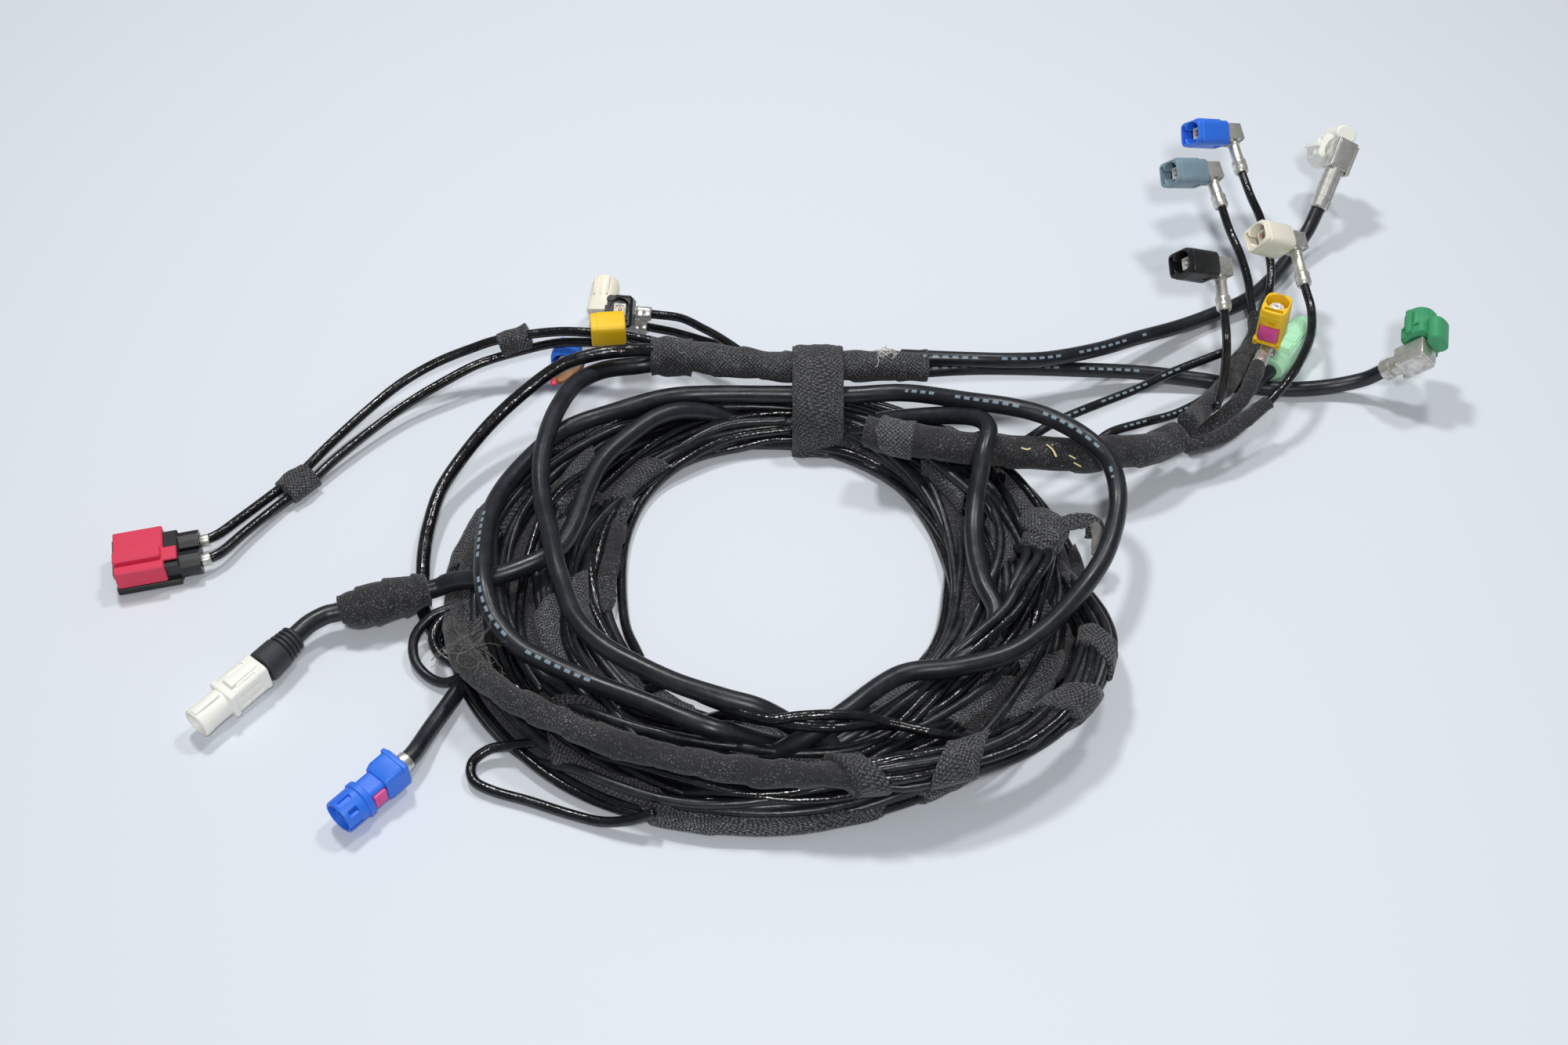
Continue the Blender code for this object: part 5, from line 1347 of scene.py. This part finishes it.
def makeYellow():
    turn, length = connectorFrame("yellow_coax")
    front, rear = 17.5, 3.5
    shell = keyedShell(rear, front, -1.05, 0, 5.5, 4.55, 4.2)
    slot = block((front - 6, -5.5, -3.1), (front + 1, -4.1, 3.1), 0)
    window = block((rear + 1.4, -8, -3.5), (rear + 8.0, -5.1, 3.5), 0)
    gap = block((rear + 8.6, -8, -1.5), (rear + 10.0, -5.6, 0.6), 0)
    body = carve(shell, [slot, window, gap])
    key = [block((front - 3.4, -4.3, -2.6), (front - 0.5, -3.7, -1.7), 0.15),
           block((front - 2.6, -4.2, -2.2), (front - 0.8, -3.6, 2.4), 0.2)]
    corners = ((-6.9, -4.6), (-6.9, 3.1), (2.6, 3.1))
    ears = [block((rear - 0.5, y, z), (rear + 1.9, y + 2.2, z + 1.5), 0.25) for y, z in corners]
    frameRail = block((rear + 0.2, -6.9, -4.2), (rear + 1.2, -5.6, 4.2), 0.2)
    place("yellow_coax_shell", [body, frameRail, *key, *ears], turn, "yellowMoulding", "yellow_coax_housing")
    plate = loft([(x, -6.3 + 0.5 * ((x - 8.2) / 3.2) ** 2, 0, h, 3.15, 4) for x, h in
                  ((5.2, 0.3), (5.35, 0.85), (6.4, 1.0), (8.2, 1.05), (10.0, 1.0), (11.0, 0.85),
                   (11.15, 0.3))], 40)
    place("yellow_coax_plate", [plate], turn, "pinkMoulding", "yellow_coax_lock")
    place("yellow_coax_metal", coaxTerminal(length), turn, "tinnedSheet", "yellow_coax_terminal")
    dome = turned([(9.2, 2.5), (14.6, 2.5), (15.0, 2.35), (15.1, 1.9), (15.5, 1.7), (15.8, 1.1), (15.5, 0.6),
                   (14.4, 0.5)], 40, lambda x, angle: 0.12 * np.cos(8 * angle) * (x > 14))
    place("yellow_coax_contact", [dome], turn, "brightContact", "yellow_coax_terminal")
    place("yellow_coax_seat", [block((9.4, -1.8, -3.5), (14.6, 1.4, -2.3), 0.2)], turn, "pinkMoulding",
          "yellow_coax_lock")


def makeData(name, finHigh):
    turn, length = connectorFrame(name)
    finish = connectors[name][3]
    rear, front = 3.9, 17.4
    def flute(x, angle):
        ridge = 0.42 * np.abs(np.cos(4 * angle)) ** 0.6
        return ridge * np.clip((x - 7.4) / 0.5, 0, 1) * np.clip((front - 0.5 - x) / 0.4, 0, 1)
    head = turned([(rear, 4.6), (rear + 0.3, 5.0), (7.4, 5.0), (7.9, 5.0), (front - 1.2, 5.0),
                   (front - 0.5, 5.0), (front - 0.1, 4.8), (front, 4.4), (front - 0.05, 3.9),
                   (front - 0.3, 3.75), (front - 9, 3.75)], 96, flute)
    collar = loft([(rear, 0.25, 0, 4.1, 5.7, 6), (rear + 0.3, 0.25, 0, 4.6, 6.2, 6),
                   (rear + 4.9, 0.25, 0, 4.6, 6.2, 6), (rear + 5.2, 0.25, 0, 4.2, 5.8, 6)], 56)
    fins = [block((rear + 0.4, -1.0, low), (front - 3.0, 1.0, high), 0.3)
            for low, high in ((-finHigh, -4.5), (4.5, finHigh))]
    ear = block((rear + 0.2, -1.6, finHigh - 1.2), (rear + 3.2, 1.6, finHigh + 0.1), 0.3)
    skirt = loft([(rear - 3.0, 6.4, 0, 2.2, 3.4, 2.4), (rear - 2.6, 6.4, 0, 2.7, 4.0, 2.4),
                  (rear + 6.4, 6.4, 0, 2.9, 4.0, 2.4), (rear + 7.0, 6.4, 0, 2.4, 3.5, 2.4),
                  (rear + 6.9, 6.6, 0, 1.9, 3.0, 2.2), (rear + 3.5, 6.6, 0, 1.8, 2.9, 2.2)], 48)
    groove = carve(collar, [block((rear + 1.2, -6, 5.5), (rear + 3.6, 6, 7), 0),
                            block((rear + 2.0, -3.2, -7), (rear + 4.0, 3.2, -5.7), 0)])
    place(name + "_shell", [head, groove, *fins, ear, skirt], turn, finish, name + "_housing")
    end = length - 0.6
    body = block((-3.6, -7.6, -3.9), (3.6, 3.4, 3.9), 0.5)
    cheeks = [block((-3.7, -8.7, 3.4), (1.2, 2.4, 4.5), 0.2),
              block((-3.9, -6.6, -3.3), (-3.5, 2.6, 3.3), 0.15)]
    lip = block((-2.6, -8.8, -2.2), (3.0, -7.4, 3.0), 0.3)
    def seam(_, angle):
        return -0.35 * np.exp(-(np.sin((angle - 2.6) / 2) / 0.07) ** 2)
    sleeve = turned([(6.6, 2.9), (7.0, 3.25), (end - 4.4, 3.3), (end - 4.2, 3.05), (end - 3.7, 3.05),
                     (end - 3.5, 3.35, 2.5), (end - 0.6, 3.35, 2.5), (end, 3.05)], 56, seam)
    mark = carve(sleeve, [block((end - 3.0, 1.4, 2.0), (end - 1.6, 2.6, 4.0), 0.05)])
    mark.transform(Matrix.Translation((-0.3 * mm, 0, 0)) @ Matrix.Rotation(-math.pi / 2, 4, "Z"))
    place(name + "_metal", [body, lip, *cheeks, mark], turn, "tinnedSheet", name + "_terminal")
    place(name + "_core", [rod((5, 0, 0), (9.8, 0, 0), 2.6, 2.5, 24)], turn, "tinnedSheet",
          name + "_terminal")


def makeMint():
    rear, nose = Vector((170.4, 94.5, 7.5)), Vector((185.6, 116.7, 6.4))
    turn = frameAt(rear, nose - rear, (-0.8, 0.5, 0))
    long = (nose - rear).length
    collar = turned([(0, 3.7), (0.4, 4.2), (2.0, 4.3), (2.2, 3.9), (2.9, 3.9), (3.1, 4.4), (6.0, 4.5)])
    body = loft([(4.4, -0.1, 0, 3.4, 3.7, 6), (4.8, -0.1, 0, 3.9, 4.2, 6), (long - 8.3, -0.1, 0, 3.9, 4.2, 6),
                 (long - 8, -0.1, 0, 3.5, 3.8, 6)], 56)
    # each panel is a tongue freed by a U-shaped slit
    slits = []
    for low, high in ((6.4, 10.8), (12.0, 16.6)):
        for y in (-2.4, 2.1):
            slits.append(block((low, y, 3.5), (high, y + 0.35, 5.5), 0))
        slits.append(block((low, -2.4, 3.5), (low + 0.35, 2.4, 5.5), 0))
    latch = block((5.5, -2.9, 3.2), (long - 6.5, 2.9, 4.7), 0.4)
    cut = carve(latch, slits)
    ridges = [block((x, -3.1, 4.2), (x + 0.8, 3.1, 5.0), 0.25) for x in (5.6, 11.2, 17.0)]
    def flute(x, angle):
        return 0.3 * np.abs(np.cos(5 * angle)) ** 0.5 * (long - 8.8 < x < long - 0.4)
    head = turned([(long - 9.5, 4.5), (long - 9.1, 4.9), (long - 0.5, 4.9), (long - 0.1, 4.7), (long, 4.3),
                   (long - 0.3, 3.75), (long - 8, 3.75)], 80, flute)
    wings = [block((long - 9.5, side * 4.4 - 0.5, -2.4),
                   (long - 3.5, side * 4.4 + 0.9 * side + 0.5, 2.4), 0.3) for side in (-1, 1)]
    place("mint_data_shell", [collar, body, cut, *ridges, head, *wings], turn, "mintMoulding",
          "mint_data_housing")


def makeBoot():
    # the rubber boot: a smooth flared skirt on the plug, then four fine rings where the cable goes in
    start, rear = Vector(routes["white_plug_lead"][-1]), Vector((-148.0, -32.4, 7.0))
    turn = alongX(start, rear)
    top = (rear - start).length - 0.6
    spots = [(0.5, 3.3), (0.8, 3.7)]
    for x in (1.0, 2.5, 4.0, 5.5):
        radius = 4.0 + 0.11 * x
        spots += [(x, radius - 0.25), (x + 0.15, radius), (x + 0.75, radius + 0.05), (x + 0.95, radius - 0.2),
                  (x + 1.05, radius - 0.62), (x + 1.4, radius - 0.62)]
    spots += [(7.1, 4.75), (7.5, 4.9), (top - 1.5, 5.15), (top - 0.9, 5.2), (top - 0.2, 5.05), (top, 4.7)]
    place("white_plug_boot_ribs", [turned(spots)], turn, "ribbedRubber", "white_plug_boot")


def makeWhitePlug():
    rear, nose = Vector((-148.0, -32.4, 7.0)), Vector((-163.4, -51.6, 6.0))
    turn = frameAt(rear, nose - rear, (0.77, -0.63, 0))
    long = (nose - rear).length
    shell = turned([(0, 4.2), (0.4, 4.75), (1.4, 4.75), (1.8, 4.55), (12.0, 4.5), (12.8, 4.1)], 64, power=7)
    windows = [((3.0, 4.0, -2.4), (7.6, 5.2, -0.6)), ((8.4, 4.0, -2.4), (11.2, 5.2, -0.6)),
               ((3.6, 4.0, 1.4), (10.4, 5.2, 2.2)), ((4.0, -5.2, -1.6), (9.0, -4.0, 1.6)),
               ((3.4, -3.2, 4.1), (7.4, -2.2, 5.2)), ((3.4, 2.6, 4.1), (10.4, 3.3, 5.2))]
    body = carve(shell, [block(low, high, 0) for low, high in windows])
    latch = [block((0.8, -1.7, 4.1), (11.0, 1.7, 5.0), 0.3), block((9.4, -2.1, 4.2), (11.4, 2.1, 5.5), 0.35)]
    flange = block((12.2, -4.9, -4.7), (14.4, 4.9, 4.7), 0.8)
    tip = turned([(11.6, 4.0, 2.6), (14.5, 4.15, 2.6), (15.0, 4.3, 2.3), (long - 3.2, 4.4, 2.1),
                  (long - 2.6, 4.65), (long - 0.4, 4.7), (long, 4.4), (long, 3.9), (long - 0.3, 3.75),
                  (long - 9, 3.75)], 64)
    key = block((15.0, -1.1, 4.0), (long - 0.6, 1.1, 5.1), 0.3)
    place("white_plug_shell", [body, flange, tip, key, *latch], turn, "whiteMoulding", "white_plug_housing")


def makeBluePlug():
    rear, nose = Vector((-102.7, -66.4, 6.2)), Vector((-117.5, -83.8, 6.2))
    turn = frameAt(rear, nose - rear, (0.77, -0.63, 0))
    long = (nose - rear).length
    back = loft([(0, 0, 0.5, 4.3, 4.3, 7), (0.35, 0, 0.5, 4.7, 4.7, 7), (6.6, 0, 0.5, 4.7, 4.7, 7),
                 (8.2, 0, 0.1, 4.3, 4.25, 7)], 56)
    ridge = block((0.6, -4.9, 2.2), (2.0, 4.9, 5.4), 0.25)
    waist = loft([(7.4, 0, -0.1, 3.7, 3.9, 6), (long - 7.0, 0, -0.1, 3.8, 4.0, 5)], 48)
    seat = carve(waist, [block((8.3, 1.6, -2.7), (13.1, 5, 2.7), 0)])
    collar = turned([(long - 9.4, 5.2), (long - 9.1, 5.65), (long - 7.5, 5.7), (long - 7.2, 5.3)], 64)
    ring = turned([(long - 7.8, 4.9), (long - 7.5, 5.15), (long - 0.6, 5.15), (long - 0.15, 4.95),
                   (long, 4.55), (long - 0.1, 4.25), (long - 5.5, 4.1)], 72)
    slots = [block((long - 5.4, -0.8, 4.4), (long - 1.2, 0.8, 6), 0),
             block((long - 4.6, 4.3, -1.6), (long + 1, 6, -0.4), 0),
             block((long - 4.6, 3.0, 2.6), (long - 1.6, 5, 4.4), 0)]
    front = carve(ring, slots)
    inner = turned([(long - 6, 2.7, 6), (long - 1.6, 2.7, 6), (long - 1.3, 2.4, 6), (long - 1.4, 1.9, 5),
                    (long - 4, 1.8, 5)], 48)
    place("blue_data_shell", [back, ridge, seat, collar, front, inner], turn, "blueMoulding",
          "blue_data_housing")
    pads = [block((8.5, 1.7, -2.5), (12.9, 4.5, 2.4), 0.35), block((10.2, 3.9, -1.0), (11.6, 4.9, 1.0), 0.25)]
    place("blue_data_lock_pads", pads, turn, "pinkMoulding", "blue_data_lock")
    spots = [(y, z) for y in (-0.8, 0.8) for z in (-0.8, 0.8)]
    pins = [rod((long - 5, y, z), (long - 2.2, y, z), 0.45, 0.4, 12, 0.1) for y, z in spots]
    place("blue_data_contact", pins, turn, "brightContact", "blue_data_housing")


def makeBackHousings():
    # the yellow block with its chamfered top, the glossy blue housing and the domed cream one
    turn = frameAt((-42.6, 92.8, 28.9), (-1.0, -0.12, 0.02), (0, 1, 0.1))
    shell = keyedShell(3.5, 14.9, 0, 0.35, 4.4, 4.75, 5.0)
    steps = [block((5.0, 4.0, -2.4), (12.0, 5.0, 2.4), 0.3), block((4.0, -2.0, 4.7), (8.4, 2.0, 5.5), 0.3)]
    place("yellow_back_shell", [shell, *steps], turn, "yellowMoulding", "yellow_back_housing")
    turn = frameAt((-66.5, 109.5, 5.4), (-0.15, -0.95, 0.2), (1, -0.2, 0))
    body = carve(keyedShell(3.5, 14.0, 0, 0.35, 4.4, 4.75, 4.5), [block((4.5, -2.6, 4.6), (9.0, 2.6, 6), 0)])
    place("blue_back_shell", [body, block((9.6, 4.0, -1.2), (13.0, 4.9, 1.2), 0.2)], turn, "blueMoulding",
          "blue_back_housing")
    place("blue_back_ring", [turned([(4.8, 2.2), (11.6, 2.2), (11.9, 1.9), (11.6, 1.4), (9, 1.3)], 40)], turn,
          "brightContact", "blue_back_housing")
    turn = connectorFrame("cream_back")[0]
    dome = loft([(3.5, 0, 0.4, 4.0, 4.4, 6), (3.8, 0, 0.4, 4.5, 5.0, 6), (6.5, 0, 0.4, 4.5, 5.2, 5),
                 (9.0, 0, 0.4, 4.6, 5.3, 3), (11.6, 0, 0.4, 4.8, 5.4, 2.2), (15.5, 0, 0.4, 4.7, 5.3, 2.1),
                 (17.2, 0, 0.4, 4.2, 4.8, 2), (17.5, 0, 0.4, 3.9, 4.3, 2), (17.4, 0, 0, 3.75, 3.75, 2),
                 (9, 0, 0, 3.75, 3.75, 2)], 64)
    ribs = [block((9.5, y - 0.35, 4.6), (16.5, y + 0.35, 6.0), 0.2) for y in (-2.2, 0.0, 2.2)]
    place("cream_back_shell", [dome, *ribs], turn, "creamMoulding", "cream_back_housing")


def makeCrimps():
    # the tinned crimp behind the straight blue connector, and two small ones at the twin connector's leads
    blue = [rod((-100.9, -64.0, 6.15), (-103.1, -67.0, 6.2), 2.9, 2.9, 32, 0.25)]
    place("blue_data_crimp", blue, Matrix.Identity(4), "tinnedSheet")
    ends = [((-173.9, 20.4, 4.9), (-176.6, 19.7, 4.9)), ((-172.0, 12.8, 4.9), (-174.6, 11.7, 4.9))]
    twin = [rod(a, b, 1.95, 1.95, 24, 0.2) for a, b in ends]
    place("twin_crimps", twin, Matrix.Identity(4), "tinnedSheet")


makeCoax()
makeYellow()
makeData("white_data", 7.4)
makeData("green_data", 7.6)
makeMint()
makeBoot()
makeWhitePlug()
makeBluePlug()
makeBackHousings()
makeCrimps()
print("connectors are made")


# small things: torn fleece inside the coil, straw stuck to the sleeve, bits between the back cables

scraps = {
    # fleece torn into strips that hang at the coil's inner edge: points, width, thickness
    "torn_fleece_1": ([(-52.5, 36, 9), (-55.2, 30, 7.5), (-57, 18, 6), (-57.6, 8, 5), (-56, -3, 5)], 6.4,
                      2.2),
    "torn_fleece_2": ([(-43.6, 37, 6.5), (-46.0, 29, 5), (-47.6, 16, 3.6), (-48.6, 4, 3.2), (-48, -8, 4)],
                      6.0, 1.8),
    "brown_bit": ([(-68.5, 80.2, 15.6), (-64.8, 83.8, 16.6), (-60.6, 88.0, 17.0)], 3.6, 1.4),
    "red_bit": ([(-70.6, 80.0, 14.6), (-68.4, 82.4, 15.4)], 2.6, 1.2),
    "beige_bit": ([(-57.8, 82.2, 15.6), (-53.6, 83.8, 16.4)], 2.2, 1.4),
}
scrapFinish = {"torn_fleece_1": "fleeceTape", "torn_fleece_2": "fleeceTape", "brown_bit": "brownMoulding",
               "red_bit": "crimsonMoulding", "beige_bit": "creamMoulding"}

straws = [
    [(80.2, 40.9, 24.9), (81.9, 39.9, 25.3), (83.0, 40.9, 24.8)],
    [(88.2, 42.4, 25.0), (89.8, 39.6, 25.4), (90.7, 37.0, 25.0)],
    [(89.8, 42.2, 25.1), (92.6, 42.6, 25.0), (94.4, 43.9, 24.7)], [(96.4, 36.8, 22.6), (98.6, 35.6, 22.0)],
    [(94.9, 38.2, 24.4), (96.9, 37.3, 23.8)],
]


def makeScraps():
    for seed, (name, (points, width, thick)) in enumerate(scraps.items()):
        fleece = name.startswith("torn")
        line = smoothLine(points, 0.5)
        rough = waves(400 + seed, 6, 5, 18, 0.3 if fleece else 0.12)
        fine = waves(430 + seed, 8, 1.6, 5, 0.14 if fleece else 0.0)
        share = np.linspace(0, 1, len(line))
        shape = 1 - 0.45 * np.exp(-(share / 0.05) ** 2) - 0.5 * np.exp(-((1 - share) / 0.08) ** 2)
        mesh = tubeMesh(name, line, width / 2 * shape, thick / 2, sides=28, power=2.6,
                        swell=lambda along, angle: rough(along, angle) + fine(along, angle))
        addPiece(name, mesh, finishes[scrapFinish[name]])


def makeStraws():
    meshes = [tubeMesh("straw", smoothLine(points, 0.3), 0.34, 0.2, sides=8) for points in straws]
    addJoined("straw_bits", meshes, "strawFibre")


makeScraps()
makeStraws()


# loose hairs: middle of the clump, reach of one hair, how many, radius, how much it curls, drop, finish
clumps = {
    "frayed_threads": ((39.5, 84.4), 8.0, 12, 0.13, 0.42, 1.6, "frayedThread"),
    "hair_tangle": ((-85.6, -35.0), 26.0, 8, 0.09, 0.30, 3.0, "greyHair"),
}


def makeClumps():
    # Each hair wanders over the floor plan, its heading a running sum of small random turns, and lies on what
    # is under it: the height of the surface below each of its points, smoothed and lifted by the hair's
    # radius. It is too stiff to hang down past an edge by more than its drop.
    bpy.context.view_layer.update()
    shown = bpy.context.evaluated_depsgraph_get()
    for seed, (name, (middle, reach, count, radius, curl, drop, finish)) in enumerate(clumps.items()):
        pick = np.random.default_rng(900 + seed)
        hairs = []
        for _ in range(count):
            heading = pick.uniform(0, full) + np.cumsum(pick.normal(0, curl, 34))
            plan = np.cumsum(np.stack([np.cos(heading), np.sin(heading)], axis=1), axis=0) * reach / 34
            plan += np.array(middle) - plan.mean(axis=0) + pick.normal(0, 1.6, 2)
            below = [bpy.context.scene.ray_cast(shown, (x * mm, y * mm, 0.2), (0, 0, -1))[1][2] / mm for x,
                     y in plan]
            height = np.convolve(np.pad(below, 3, mode="edge"), np.ones(7) / 7, mode="valid")
            height = np.maximum(np.maximum(height, below) + radius * 0.6, max(below) - drop)
            hairs.append(tubeMesh("hair", np.column_stack([plan, height]), radius, sides=6))
        addJoined(name, hairs, finish)


makeClumps()
print("small bits are laid")

# CAD pieces whose shape stays, with their own finishes

nodeFinishes = {"twin_body": "blackMoulding", "twin_cover": "crimsonMoulding",
                "torn_black_housing": "blackMoulding"}
for name, finish in nodeFinishes.items():
    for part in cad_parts[name].material_slots:
        part.material = finishes[finish]
print("CAD pieces finished:", len(nodeFinishes))
